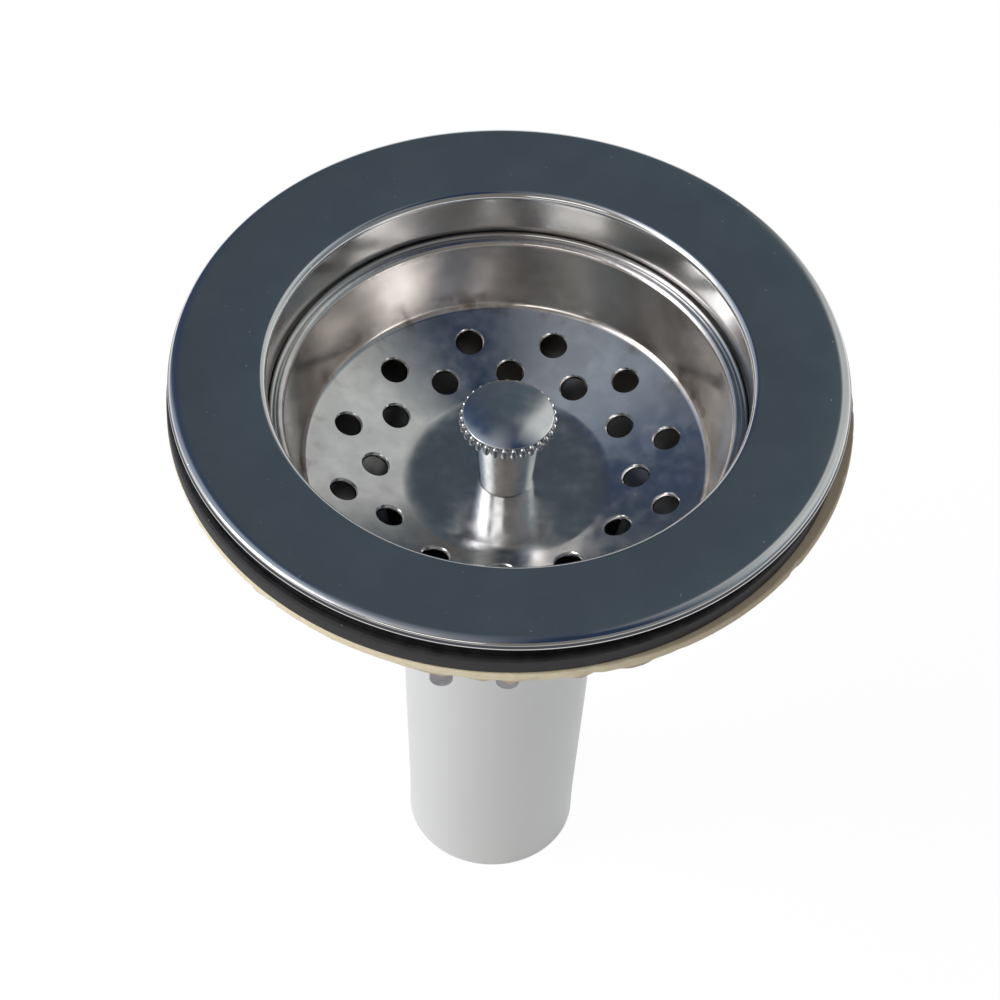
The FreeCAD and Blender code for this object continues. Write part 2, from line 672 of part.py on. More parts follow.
def make_lock_nut():
    """Cast ring nut with pairs of lugs, one pair towards the front."""
    body = turned_body("lock_nut", "lock_nut_base", [
        ("lock_nut_bore", "0"),
        ("lock_nut_hub_radius", "0"),
        ("lock_nut_hub_radius", "lock_nut_flange_base"),
        ("lock_nut_flange_radius", "lock_nut_flange_base"),
        ("lock_nut_flange_radius", "lock_nut_height"),
        ("clamp_bore", "lock_nut_height"),
        ("clamp_bore", "lock_nut_recess_base"),
        ("lock_nut_bore", "lock_nut_recess_base"),
    ])
    lug_sketch = new_sketch(body, "lug_section", "XZ_Plane", "lug_start")
    for middle in ("lug_left", "lug_right"):
        outline(lug_sketch, [
            (middle + "_start", "lug_head"),
            (middle + "_start", "lug_foot", "lug_round"),
            (middle + "_end", "lug_foot", "lug_round"),
            (middle + "_end", "lug_head"),
        ])
    lugs = pad(body, lug_sketch, "lug_pair", "lug_length")
    around(body, lugs, "lug_pairs", "lug_pair_count")
    thread(body, "lock_ridge", "lock_ridge_foot", "lock_ridge_top", "lock_ridge_base",
           ("lock_ridge_root_width", "lock_ridge_crest_width"), "bowl_thread_pitch", "lock_ridge_height")


def make_basket():
    """Pressed basket with two staggered rows of holes in its sloping floor."""
    body = pressed_body("basket_cup", "basket_base", [
        ("stem_hole_radius", "basket_gauge"),
        ("basket_disc_radius", "basket_gauge", "basket_disc_bend"),
        ("basket_floor_radius", "basket_floor_height", "basket_floor_bend"),
        ("basket_wall_radius", "basket_rim_height", "basket_rim_bend"),
        ("basket_rim_radius", "basket_rim_height"),
    ], "basket_gauge")
    hole_sketch = new_sketch(body, "strainer_hole_plan", "XY_Plane", "basket_rim_height")
    draw_circle(hole_sketch, "strainer_hole_radius", "inner_row_radius")
    draw_circle(hole_sketch, "strainer_hole_radius", "outer_hole_across", "outer_hole_up")
    holes = pocket_through(body, hole_sketch, "strainer_hole_pair")
    around(body, holes, "strainer_holes", "strainer_hole_count")


def make_knob():
    """Lifting knob: a domed head with a toothed rim on a tapered neck."""
    body = turned_body("knob", "knob_base", [
        ("stem_hole_radius", "0"),
        ("knob_foot_radius", "0"),
        ("knob_neck_radius", "knob_neck_height"),
        ("knob_rim_radius", "knob_neck_height"),
        ("knob_rim_radius", "knob_rim_top"),
        ("0", "knob_rim_top"),
        ("0", "knob_socket_depth"),
        ("stem_hole_radius", "knob_socket_depth"),
    ])
    notch_sketch = new_sketch(body, "knob_notch_plan", "XY_Plane", "knob_rim_top")
    draw_circle(notch_sketch, "knob_notch_radius", "knob_rim_radius")
    notch = pocket_through(body, notch_sketch, "knob_notch")
    around(body, notch, "knob_notches", "knob_tooth_count")
    dome_sketch = new_sketch(body, "knob_dome_section", "XZ_Plane")
    rise = Vector(0, number("knob_top"), 0)
    edge = Vector(number("knob_dome_radius"), number("knob_rim_top"), 0)
    middle = Vector(0, number("knob_rim_top"), 0)
    bend = number("knob_dome_bend")
    circle = Part.Circle(Vector(0, number("knob_top") - bend, 0), Vector(0, 0, 1), bend)
    dome = Part.ArcOfCircle(circle, circle.parameter(edge), circle.parameter(rise))
    arc = dome_sketch.addGeometry(dome, False)
    upright = dome_sketch.addGeometry(Part.LineSegment(rise, middle), False)
    flat = dome_sketch.addGeometry(Part.LineSegment(middle, edge), False)
    constrain(dome_sketch, "Coincident", arc, 2, upright, 1)
    constrain(dome_sketch, "Coincident", upright, 2, flat, 1)
    constrain(dome_sketch, "Coincident", flat, 2, arc, 1)
    locate(dome_sketch, upright, 1, "0", "knob_top")
    locate(dome_sketch, flat, 1, "0", "knob_rim_top")
    locate(dome_sketch, flat, 2, "knob_dome_radius", "knob_rim_top")
    constrain(dome_sketch, "Radius", arc, bend, name="knob_dome_bend")
    turn(body, dome_sketch, "knob_dome")


def make_stem_stack():
    """Stem, rubber stopper, backing plate, split washer and nut under the basket."""
    stem = new_body("stem", "stem_base")
    stem_sketch = new_sketch(stem, "stem_plan", "XY_Plane")
    draw_circle(stem_sketch, "stem_radius")
    pad(stem, stem_sketch, "stem_raised", "stem_length")
    turned_body("stopper_seal", "seal_base", [
        ("stem_hole_radius", "seal_centre_base"),
        ("backing_plate_radius", "seal_centre_base"),
        ("seal_lip_bore", "0"),
        ("seal_radius", "0"),
        ("seal_radius", "seal_lip_height"),
        ("seal_crown_radius", "seal_height"),
        ("stem_hole_radius", "seal_height"),
    ])
    ring("backing_plate", "backing_plate_base", "backing_plate_radius", "stem_hole_radius",
         "backing_plate_thickness")
    washer = ring("lock_washer", "lock_washer_base", "lock_washer_radius", "stem_hole_radius",
                  "lock_washer_thickness")
    slit_sketch = new_sketch(washer, "lock_washer_slit_plan", "XY_Plane", "lock_washer_thickness")
    outline(slit_sketch, [
        ("0", "0"),
        ("lock_washer_reach", "0"),
        ("lock_washer_reach", "lock_washer_slit"),
        ("0", "lock_washer_slit"),
    ])
    pocket_through(washer, slit_sketch, "lock_washer_split")
    prism = document.addObject("Part::Prism", "stem_nut_prism")
    bind(prism, "Circumradius", "stem_nut_corner_radius")
    bind(prism, "Height", "stem_nut_height")
    bore = document.addObject("Part::Cylinder", "stem_nut_bore")
    bind(bore, "Radius", "stem_hole_radius")
    bind(bore, "Height", "stem_nut_height")
    nut = document.addObject("Part::Cut", "stem_nut")
    nut.Label = "stem_nut"
    nut.Base = prism
    nut.Tool = bore
    bind(nut, "Placement.Base.z", "stem_nut_base")
    sub_parts.append(nut)


def make_clip():
    """Sprung strip under the stem nut that centres the basket in the crossbar's hub."""
    body = new_body("detent_clip", "clip_base")
    strip_sketch = new_sketch(body, "clip_section", "XZ_Plane", "clip_back")
    pressed_outline(strip_sketch, [
        ("clip_left_foot", "0"),
        ("clip_left_bulge", "clip_bulge_height", "clip_bend"),
        ("clip_left_shoulder", "clip_height", "clip_bend"),
        ("clip_shoulder", "clip_height", "clip_bend"),
        ("clip_bulge", "clip_bulge_height", "clip_bend"),
        ("clip_foot", "0"),
    ], "clip_gauge")
    pad(body, strip_sketch, "clip_strip", "clip_width")
    hole_sketch = new_sketch(body, "clip_hole_plan", "XY_Plane", "clip_height")
    draw_circle(hole_sketch, "stem_hole_radius")
    pocket_through(body, hole_sketch, "clip_hole")


def write_parts():
    """Check every object, then write one file for each sub-part."""
    document.recompute()
    for item in document.Objects:
        if "Invalid" in item.State or "Error" in item.State:
            raise RuntimeError(item.Name + " failed")
    for item in sub_parts:
        if item.Shape.isNull() or not item.Shape.isValid() or len(item.Shape.Solids) != 1:
            raise RuntimeError(item.Label + " is not one valid solid")
    os.makedirs("parts", exist_ok=True)
    for item in sub_parts:
        item.Shape.exportStep("parts/" + item.Label + ".step")


fill_sheet()
make_tailpiece()
make_outlet()
make_crossbar()
make_coupling_nut()
make_body_shell()
make_clamp_rings()
make_lock_nut()
make_basket()
make_knob()
make_stem_stack()
make_clip()
write_parts()
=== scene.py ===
# %% [markdown]
# # A basket strainer for a kitchen sink
# The real object is a pressed steel flange and bowl with a lift-out basket in it. Rubber and fibre rings and
# a cast nut clamp it in the sink, and a white plastic pipe hangs below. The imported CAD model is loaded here
# as a frame: it says where every part lies and what moves. This lesson makes a finished piece for each plain
# solid, with rounded edges, screw threads and worn surfaces, in metres and in the solid's own place.

# %% Load the frame
import json
from math import atan2, cos, radians, sin, tan, tau

import bmesh
import bpy
from mathutils import Matrix, Vector, noise


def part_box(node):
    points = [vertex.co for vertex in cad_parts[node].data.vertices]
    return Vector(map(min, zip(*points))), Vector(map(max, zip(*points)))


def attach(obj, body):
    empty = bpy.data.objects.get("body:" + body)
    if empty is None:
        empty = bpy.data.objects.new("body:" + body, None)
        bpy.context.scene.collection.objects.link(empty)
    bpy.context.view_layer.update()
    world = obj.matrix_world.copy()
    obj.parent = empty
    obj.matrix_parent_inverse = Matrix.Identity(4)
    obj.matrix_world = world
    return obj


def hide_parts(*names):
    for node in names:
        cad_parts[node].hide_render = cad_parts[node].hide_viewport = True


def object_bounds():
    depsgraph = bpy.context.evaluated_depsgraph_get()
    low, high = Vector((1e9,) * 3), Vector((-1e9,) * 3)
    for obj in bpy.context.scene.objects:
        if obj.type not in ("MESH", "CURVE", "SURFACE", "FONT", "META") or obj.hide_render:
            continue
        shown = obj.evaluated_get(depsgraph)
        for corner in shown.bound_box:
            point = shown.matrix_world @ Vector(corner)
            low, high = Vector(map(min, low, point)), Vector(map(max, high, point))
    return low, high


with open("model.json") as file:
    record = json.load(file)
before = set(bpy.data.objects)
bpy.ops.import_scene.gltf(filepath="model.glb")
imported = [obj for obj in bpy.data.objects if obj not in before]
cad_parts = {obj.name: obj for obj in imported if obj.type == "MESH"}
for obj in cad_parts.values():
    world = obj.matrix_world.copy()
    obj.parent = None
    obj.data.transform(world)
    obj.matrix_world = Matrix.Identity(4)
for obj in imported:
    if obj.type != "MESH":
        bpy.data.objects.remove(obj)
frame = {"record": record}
cad_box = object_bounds()
mm = 0.001
print("CAD box in mm:", [round((high - low) / mm, 1) for low, high in zip(*cad_box)])

# %% [markdown]
# ## Camera
# The photograph looks down on the flange from about 50 degrees. Its far rim is clearly smaller than its near
# rim, so the camera is close and its distance matters as much as its angle. A camera can be aimed with
# rotation angles, but three unit vectors are easier to read: where it looks, what is right and what is up.

# %% Put the camera where the photograph was taken
scene = bpy.context.scene
flange_centre = Vector((0, 0, cad_box[1][2]))
camera_tilt = radians(50.60)
camera_roll = radians(2.58)
camera_distance = 748.7 * mm
aim_left = 1.70 * mm
aim_below = 21.08 * mm
look = Vector((0, cos(camera_tilt), -sin(camera_tilt)))
level_right = Vector((1, 0, 0))
level_up = Vector((0, sin(camera_tilt), cos(camera_tilt)))
camera_right = cos(camera_roll) * level_right + sin(camera_roll) * level_up
camera_up = cos(camera_roll) * level_up - sin(camera_roll) * level_right
eye = flange_centre - aim_left * camera_right - aim_below * camera_up - camera_distance * look

camera = bpy.data.objects.new("photo_camera", bpy.data.cameras.new("photo_camera"))
camera.data.lens = 162
camera.data.sensor_width = 36
camera.matrix_world = Matrix((
    (camera_right.x, camera_up.x, -look.x, eye.x),
    (camera_right.y, camera_up.y, -look.y, eye.y),
    (camera_right.z, camera_up.z, -look.z, eye.z),
    (0, 0, 0, 1),
))
scene.collection.objects.link(camera)
scene.camera = camera
print("camera stands", round(eye.length, 3), "m from the pipe's foot")

# %% [markdown]
# ## Sections that are turned
# Nearly every part of this fitting is round, so it starts as half of its cross-section: a few corners in the
# plane of X and Z. A vertex bevel rounds a corner, and a spin turns the section about the Z axis. A third
# number on a corner says how far from it the rounding begins. Stacking cylinders and cones would also work,
# but a section shows a part's whole shape in one list, as a drawing does.

# %% Draw a section and turn it
turn_steps = 256
round_steps = 5
weld = 0.001 * mm


def draw_section(corners, closed=True, steps=round_steps):
    """Corners of (radius, height) or (radius, height, rounding) as a wire, with its corners rounded."""
    shape = bmesh.new()
    points = [shape.verts.new((corner[0], 0, corner[1])) for corner in corners]
    followers = points[1:] + points[:1] if closed else points[1:]
    for point, follower in zip(points, followers):
        shape.edges.new((point, follower))
    for point, corner in zip(points, corners):
        if len(corner) == 3:
            bmesh.ops.bevel(shape, geom=[point], offset=corner[2], offset_type="OFFSET", segments=steps,
                            profile=0.5, affect="VERTICES", material=-1)
    return shape


def turn(shape, steps=turn_steps):
    """Spins a section once about the Z axis and closes its seam."""
    bmesh.ops.spin(shape, geom=shape.verts[:] + shape.edges[:], cent=(0, 0, 0), axis=(0, 0, 1), angle=tau,
                   steps=steps, use_merge=True)
    bmesh.ops.remove_doubles(shape, verts=shape.verts[:], dist=weld)
    bmesh.ops.recalc_face_normals(shape, faces=shape.faces[:])
    return shape


print("a turned part has", turn_steps, "steps round and", round_steps, "in a rounded corner")

# %% [markdown]
# ## Screw threads and repeated details
# A thread is the same spin with a small rise at each step, so its section climbs as it goes round. A spin
# adds its vertices step by step, so a vertex's number says how far along the ridge it lies, and both ends
# can sink into the root. Teeth, ribs and lugs are one shape that a spin copies round the axis. Each is made
# in a mesh of its own and then joined to its part, which keeps the part's section simple.

# %% Wind a thread, copy a shape round, join two shapes
thread_steps_per_turn = 96
run_out_steps = 9


def thread(foot, top, start, widths, pitch, turns):
    """A right-handed ridge from radius foot to radius top, with its first middle at height start."""
    foot_half, top_half = widths[0] / 2, widths[1] / 2
    ridge = draw_section([(foot, start - foot_half), (top, start - top_half),
                          (top, start + top_half), (foot, start + foot_half)])
    corner_count = len(ridge.verts)
    steps = round(turns * thread_steps_per_turn)
    bmesh.ops.spin(ridge, geom=ridge.verts[:] + ridge.edges[:], cent=(0, 0, 0), axis=(0, 0, 1),
                   dvec=(0, 0, pitch * turns / steps), angle=tau * turns, steps=steps)
    for number, vertex in enumerate(ridge.verts):
        step = number // corner_count
        full = min(1, (1 + step) / run_out_steps, (1 + steps - step) / run_out_steps)
        vertex.co.xy *= 1 + (full - 1) * (1 - foot / vertex.co.xy.length)
    bmesh.ops.remove_doubles(ridge, verts=ridge.verts[:], dist=weld)
    bmesh.ops.holes_fill(ridge, edges=[edge for edge in ridge.edges if edge.is_boundary])
    bmesh.ops.recalc_face_normals(ridge, faces=ridge.faces[:])
    return ridge


def copy_round(shape, count):
    """Copies a shape so that count of them stand evenly round the Z axis."""
    geometry = shape.verts[:] + shape.edges[:] + shape.faces[:]
    bmesh.ops.spin(shape, geom=geometry, cent=(0, 0, 0), axis=(0, 0, 1), angle=tau * (count - 1) / count,
                   steps=count - 1, use_duplicate=True)
    return shape


def join(shape, *others):
    """Adds other shapes to a shape and lets go of them."""
    for other in others:
        carrier = bpy.data.meshes.new("carrier")
        other.to_mesh(carrier)
        other.free()
        shape.from_mesh(carrier)
        bpy.data.meshes.remove(carrier)
    return shape


print("a thread has", thread_steps_per_turn, "steps in each turn")

# %% [markdown]
# ## Finished pieces
# A finished piece replaces one solid of the frame, rides on the same body and takes the finish it is given.
# Smooth shading hides the steps of a spin, and edges sharper than 40 degrees stay crisp. A finer spin
# would look as round without it, but its mesh would be far heavier.

# %% Make a piece from a shape
crease = radians(40)
body_of = {node: body for body, nodes in frame["record"]["behaviour"]["bodies"].items() for node in nodes}


def make_piece(name, shape, node, finish):
    """Turns a shape into an object that stands for a node of the frame."""
    mesh = bpy.data.meshes.new(name)
    shape.to_mesh(mesh)
    shape.free()
    mesh.shade_smooth()
    mesh.set_sharp_from_angle(angle=crease)
    mesh.materials.append(finish)
    piece = bpy.data.objects.new(name, mesh)
    scene.collection.objects.link(piece)
    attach(piece, body_of[node])
    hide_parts(node)
    print(name, "stands for", node, "with", len(mesh.polygons), "faces")
    return piece


def levels(node):
    """Lowest and highest height of a node."""
    low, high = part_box(node)
    return low.z, high.z


def reach(node):
    """Largest radius of a round node."""
    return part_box(node)[1].x


# %% [markdown]
# ## Finishes and places
# A finish starts from one shader and gets its detail from the place on the part. Places are read from Object
# coordinates, which are metres on the part, so a pattern's size is written as a real length. An image
# texture could show the same marks, but noise has no edge, needs no unwrapping and stays sharp close up.

# %% Start a finish and read places on the part


def new_finish(name, color, metallic, roughness):
    """A material, its node tree and its shader."""
    finish = bpy.data.materials.new(name)
    finish.use_nodes = True
    shader = finish.node_tree.nodes["Principled BSDF"]
    shader.inputs["Base Color"].default_value = (*color, 1)
    shader.inputs["Metallic"].default_value = metallic
    shader.inputs["Roughness"].default_value = roughness
    return finish, finish.node_tree, shader


def part_coordinates(tree, stretch=(1, 1, 1)):
    """Object coordinates, multiplied by stretch."""
    coordinates = tree.nodes.new("ShaderNodeTexCoord")
    mapping = tree.nodes.new("ShaderNodeMapping")
    mapping.inputs["Scale"].default_value = stretch
    tree.links.new(coordinates.outputs["Object"], mapping.inputs["Vector"])
    return mapping.outputs["Vector"]


def axis_place(tree, axis):
    """Place along one axis of the part: X to the right, Y to the back, Z up."""
    node = tree.nodes.new("ShaderNodeSeparateXYZ")
    tree.links.new(part_coordinates(tree), node.inputs["Vector"])
    return node.outputs[axis]


def axis_distance(tree):
    """Distance from the part's upright axis."""
    node = tree.nodes.new("ShaderNodeVectorMath")
    node.operation = "LENGTH"
    tree.links.new(part_coordinates(tree, (1, 1, 0)), node.inputs[0])
    return node.outputs["Value"]


print("a finish can read X, Y, Z and the distance from the axis")

# %% [markdown]
# ## Working with patterns
# A pattern is a number at each place. Map Range stretches the range of it that matters, and a Math node
# combines two of them. Node groups could hold these steps too, but small functions keep a whole finish
# readable in one cell.

# %% Stretch and combine patterns


def spread(tree, factor, start, end, low=0, high=1):
    """Maps start..end of a pattern to low..high."""
    node = tree.nodes.new("ShaderNodeMapRange")
    for socket, value in zip(("From Min", "From Max", "To Min", "To Max"), (start, end, low, high)):
        node.inputs[socket].default_value = value
    tree.links.new(factor, node.inputs["Value"])
    return node.outputs["Result"]


def combine(tree, operation, first, second):
    """Two patterns combined by an operation of the Math node."""
    node = tree.nodes.new("ShaderNodeMath")
    node.operation = operation
    tree.links.new(first, node.inputs[0])
    tree.links.new(second, node.inputs[1])
    return node.outputs["Value"]


def product(tree, first, second):
    """Two patterns multiplied."""
    return combine(tree, "MULTIPLY", first, second)


def total(tree, first, second):
    """Two patterns added."""
    return combine(tree, "ADD", first, second)


print("patterns can be stretched, multiplied and added")

# %% [markdown]
# ## Colour, gloss and relief
# Mix turns a pattern into a colour between two others. Bump makes light fall as if the surface rose and sank
# with a pattern. Such marks could be cut into the mesh as well, but dust and grain this fine would need
# millions of faces.

# %% Let patterns drive a shader


def tint(tree, factor, under, over):
    """Mixes two colours by a pattern. Each is a colour or another pattern's output."""
    node = tree.nodes.new("ShaderNodeMix")
    node.data_type = "RGBA"
    sockets = [socket for socket in node.inputs if socket.type == "RGBA"]
    for socket, color in zip(sockets, (under, over)):
        if isinstance(color, tuple):
            socket.default_value = (*color, 1)
        else:
            tree.links.new(color, socket)
    tree.links.new(factor, node.inputs["Factor"])
    return next(output for output in node.outputs if output.type == "RGBA")


def shades(tree, factor, start, end, under, over):
    """A colour that goes from under to over between start and end of a pattern."""
    return tint(tree, spread(tree, factor, start, end), under, over)


def relief(tree, shader, factor, depth, strength=1.0):
    """Raises the surface by a pattern, on top of any relief that the shader already has."""
    node = tree.nodes.new("ShaderNodeBump")
    node.inputs["Distance"].default_value = depth
    node.inputs["Strength"].default_value = strength
    tree.links.new(factor, node.inputs["Height"])
    if shader.inputs["Normal"].is_linked:
        tree.links.new(shader.inputs["Normal"].links[0].from_socket, node.inputs["Normal"])
    tree.links.new(node.outputs["Normal"], shader.inputs["Normal"])


def dress(tree, shader, color, roughness):
    """Lets patterns drive a shader's colour and roughness."""
    tree.links.new(color, shader.inputs["Base Color"])
    tree.links.new(roughness, shader.inputs["Roughness"])


print("patterns can drive colour, roughness and relief")

# %% [markdown]
# ## Clouds and specks
# Two patterns are enough for this object. Soft noise makes clouds, stains and grain. A Voronoi pattern has
# one point in each of its cells, so it makes round specks of dust, and the cell's random colour says which
# of them show.

# %% Make clouds and specks


def cloud(tree, size, detail=3, stretch=(1, 1, 1)):
    """Soft noise with patches of about the given size."""
    pattern = tree.nodes.new("ShaderNodeTexNoise")
    pattern.inputs["Scale"].default_value = 1 / size
    pattern.inputs["Detail"].default_value = detail
    tree.links.new(part_coordinates(tree, stretch), pattern.inputs["Vector"])
    return pattern.outputs["Fac"]


def specks(tree, spacing, radius, share):
    """Round spots: 1 at the middle of a spot and 0 between them, in the given share of the cells."""
    pattern = tree.nodes.new("ShaderNodeTexVoronoi")
    pattern.inputs["Scale"].default_value = 1 / spacing
    tree.links.new(part_coordinates(tree), pattern.inputs["Vector"])
    spot = spread(tree, pattern.outputs["Distance"], radius / spacing, 0.6 * radius / spacing)
    chance = tree.nodes.new("ShaderNodeSeparateColor")
    tree.links.new(pattern.outputs["Color"], chance.inputs["Color"])
    chosen = spread(tree, chance.outputs["Red"], share, share - 0.01)
    return product(tree, spot, chosen)


print("patterns: clouds and specks")

# %% [markdown]
# ## Polished steel of the flange and bowl
# The flange is pressed from stainless sheet and polished like a mirror, so most of its colour is the room
# around it. Only the flange has that polish. The wall of the mouth is as the press drew it, and the bowl
# below the basket's ledge is dull, cloudy and darker in colour. A band on the side of the rim gets a painted
# dark reflection, above a light tip. Height and radius on the part say where each of them is. A material for
# each would do too, but its border would be hard and follow the faces. Faint rings from the press, and fine
# dust on the flange, keep the mirror from looking like a drawing.

# %% Flange steel
bowl_bottom, flange_top = levels("body_shell")
flange_radius = reach("body_shell")
ledge_depth = 9.8 * mm
ledge_top = flange_top - ledge_depth
flange_steel, tree, shader = new_finish("flange_steel", (0.66, 0.665, 0.67), 1.0, 0.1)
height = axis_place(tree, "Z")
drawn = spread(tree, height, flange_top - 1.0 * mm, flange_top - 2.0 * mm)
unpolished = spread(tree, height, ledge_top - 0.6 * mm, ledge_top - 2.0 * mm)
outermost = spread(tree, axis_distance(tree), flange_radius - 0.4 * mm, flange_radius - 0.25 * mm)
under_bend = spread(tree, height, flange_top - 0.55 * mm, flange_top - 0.75 * mm)
over_tip = spread(tree, height, flange_top - 1.25 * mm, flange_top - 1.15 * mm)
# The band on the rim's side, between the bend and the tip, is a painted dark reflection.
painted_dark_rim = product(tree, outermost, product(tree, under_bend, over_tip))
polish = cloud(tree, 9 * mm)
on_flange = spread(tree, drawn, 0, 1, 1, 0)
dust = product(tree, specks(tree, 2.2 * mm, 0.2 * mm, 0.45), on_flange)
dull = shades(tree, cloud(tree, 8 * mm, 5), 0.35, 0.68, (0.22, 0.215, 0.21), (0.4, 0.39, 0.38))

steel_shades = shades(tree, polish, 0.35, 0.65, (0.63, 0.635, 0.645), (0.69, 0.692, 0.695))
# The rim band's near-black colour is a painted dark reflection, not the steel's own colour.
for place, color in ((drawn, (0.56, 0.55, 0.54)), (unpolished, dull), (painted_dark_rim, (0.07, 0.07, 0.08)),
                     (dust, (0.86, 0.86, 0.85))):
    steel_shades = tint(tree, place, steel_shades, color)
gloss = spread(tree, polish, 0.3, 0.7, 0.07, 0.13)
for place, added in ((drawn, 0.05), (unpolished, 0.22), (painted_dark_rim, 0.3)):
    gloss = total(tree, gloss, spread(tree, place, 0, 1, 0, added))
dress(tree, shader, steel_shades, gloss)
relief(tree, shader, cloud(tree, 3 * mm, 2, (0.08, 0.08, 6)), 0.002 * mm, 0.5)
relief(tree, shader, dust, 0.02 * mm, 0.6)
print(flange_steel.name, "has", len(tree.nodes), "nodes")

# %% [markdown]
# ## Flange and bowl
# One sheet of steel, 0.8 mm thick, makes the flange, the mouth, the ledge that the basket sits on, and the
# bowl with its sloping floor. The section below follows the sheet's upper face from the outlet to the rim,
# where the flange curves gently down before its edge turns over. It is turned while it is still a surface,
# and solidify then gives it the sheet's thickness. Turning two parallel lines would do as well, but every
# bend would have to be worked out twice.

# %% Press the flange and bowl
sheet = 0.8 * mm
floor_face = bowl_bottom + sheet
outlet_bore = 17.6 * mm
funnel_foot = 22.5 * mm
funnel_top = flange_top - 26.0 * mm
wall_radius = 38.9 * mm
mouth_radius = 40.6 * mm
crown_middle = flange_radius - 1.3 * mm
crown_drop = 0.42 * mm
rim_bend = flange_radius - 0.3 * mm
rim_drop = 1.35 * mm


def thicken(surface, thickness):
    """Turns a surface so that its highest face looks up, and makes it a sheet below that face."""
    highest = max(surface.faces, key=lambda face: face.calc_center_median().z)
    if highest.normal.z < 0:
        bmesh.ops.reverse_faces(surface, faces=surface.faces[:])
    bmesh.ops.solidify(surface, geom=surface.faces[:], thickness=thickness)


bowl = turn(draw_section([
    (outlet_bore, floor_face),
    (funnel_foot, floor_face, 1.2 * mm),
    (wall_radius, funnel_top, 2.0 * mm),
    (wall_radius, ledge_top, 0.3 * mm),
    (mouth_radius - 0.2 * mm, ledge_top, 0.9 * mm),
    (mouth_radius, flange_top, 1.2 * mm),
    (crown_middle, flange_top, 0.75 * mm),
    (rim_bend, flange_top - crown_drop, 0.3 * mm),
    (flange_radius, flange_top - rim_drop),
], closed=False))
thicken(bowl, sheet)
print("sheet of the bowl has", len(bowl.faces), "faces")

# %% [markdown]
# ## Thread of the bowl
# The lock nut screws on to a thread round the bowl's wall. A bump pattern could hint at it, but only a real
# ridge changes the outline. The ridge's foot is sunk a little into the wall, so no gap shows, and its height
# follows from where the nut sits at rest.

# %% Wind the bowl's thread
nut_bottom, nut_top = levels("lock_nut")
bowl_outside = wall_radius + sheet
bowl_pitch = 2.5 * mm
thread_height = 1.1 * mm
thread_sink = 0.2 * mm
thread_end = 1.1 * mm
turns_below_nut = 2.5
bowl_thread = thread(foot=bowl_outside - thread_sink, top=bowl_outside + thread_height,
                     start=nut_bottom + thread_end - turns_below_nut * bowl_pitch,
                     widths=(1.4 * mm, 0.5 * mm), pitch=bowl_pitch, turns=4.38)
make_piece("flange_and_bowl", join(bowl, bowl_thread), "body_shell", flange_steel)

# %% [markdown]
# ## Steel of the basket
# The basket is the same sheet steel, but food and water have been at it. Cloudy water marks lie on its
# sloping floor, and brown stains gather where the wall meets the floor. The height on the part says where
# that foot is, so a band of height multiplied by noise puts the stains there and nowhere else. The wall
# above it is a little browner, with broader clouds, and the rim has fine ripples.

# %% Basket steel
basket_bottom, basket_top = levels("basket_cup")
wall_foot = basket_bottom + 6.0 * mm
basket_steel, tree, shader = new_finish("basket_steel", (0.66, 0.66, 0.66), 1.0, 0.12)
height = axis_place(tree, "Z")
above_foot = spread(tree, height, wall_foot - 1.2 * mm, wall_foot + 0.2 * mm)
below_band = spread(tree, height, wall_foot + 0.6 * mm, wall_foot + 5.0 * mm, 1, 0)
foot_band = product(tree, above_foot, below_band)
stains = product(tree, foot_band, spread(tree, cloud(tree, 4 * mm, 5), 0.54, 0.7, 0, 0.7))
floor_shades = shades(tree, cloud(tree, 5 * mm, 6), 0.45, 0.7, (0.62, 0.615, 0.61), (0.74, 0.735, 0.73))
wall_shades = shades(tree, cloud(tree, 9 * mm, 2), 0.35, 0.65, (0.55, 0.52, 0.5), (0.73, 0.7, 0.68))
steel_shades = tint(tree, above_foot, floor_shades, wall_shades)
steel_shades = tint(tree, stains, steel_shades, (0.2, 0.13, 0.08))
floor_haze = spread(tree, cloud(tree, 3 * mm, 6), 0.3, 0.75, 0.1, 0.28)
wall_haze = spread(tree, cloud(tree, 7 * mm, 2), 0.3, 0.7, 0.14, 0.24)
on_floor = product(tree, floor_haze, spread(tree, above_foot, 0, 1, 1, 0))
on_wall = product(tree, wall_haze, above_foot)
dress(tree, shader, steel_shades, total(tree, on_floor, on_wall))
relief(tree, shader, cloud(tree, 6 * mm, 2), 0.01 * mm, 0.5)
at_rim = spread(tree, height, basket_top - 2.2 * mm, basket_top - 1.2 * mm)
relief(tree, shader, product(tree, cloud(tree, 1.1 * mm, 2), at_rim), 0.05 * mm, 0.6)
print(basket_steel.name, "has", len(tree.nodes), "nodes")

# %% [markdown]
# ## Basket
# The basket is a pressed cup: a flat disc that carries the knob, a sloping floor with the holes, a wall and
# a narrow rim that rests on the bowl's ledge. It is made like the bowl, as a surface that gets its thickness
# after the turn. An edge bevel then rounds the rim's outer edge. The edges for it are found by their place,
# because a turned mesh has no names for them.

# %% Press the basket
cup_sheet = 0.7 * mm
stem_hole = 2.6 * mm
disc_face = basket_bottom + cup_sheet
disc_radius = 16.6 * mm
wall_foot_radius = 34.6 * mm
wall_top_radius = 37.9 * mm
cup_rim = reach("basket_cup") - 0.3 * mm
near = 0.1 * mm


def edge_span(edge, axis):
    """How far an edge reaches along an axis: 0, 1 and 2 are X, Y and Z."""
    return abs(edge.verts[0].co[axis] - edge.verts[1].co[axis])


def round_edges(shape, edges, offset, steps):
    """Rounds edges of a shape, beginning at an offset from each."""
    bmesh.ops.bevel(shape, geom=edges, offset=offset, offset_type="OFFSET", segments=steps, profile=0.5,
                    affect="EDGES", material=-1)


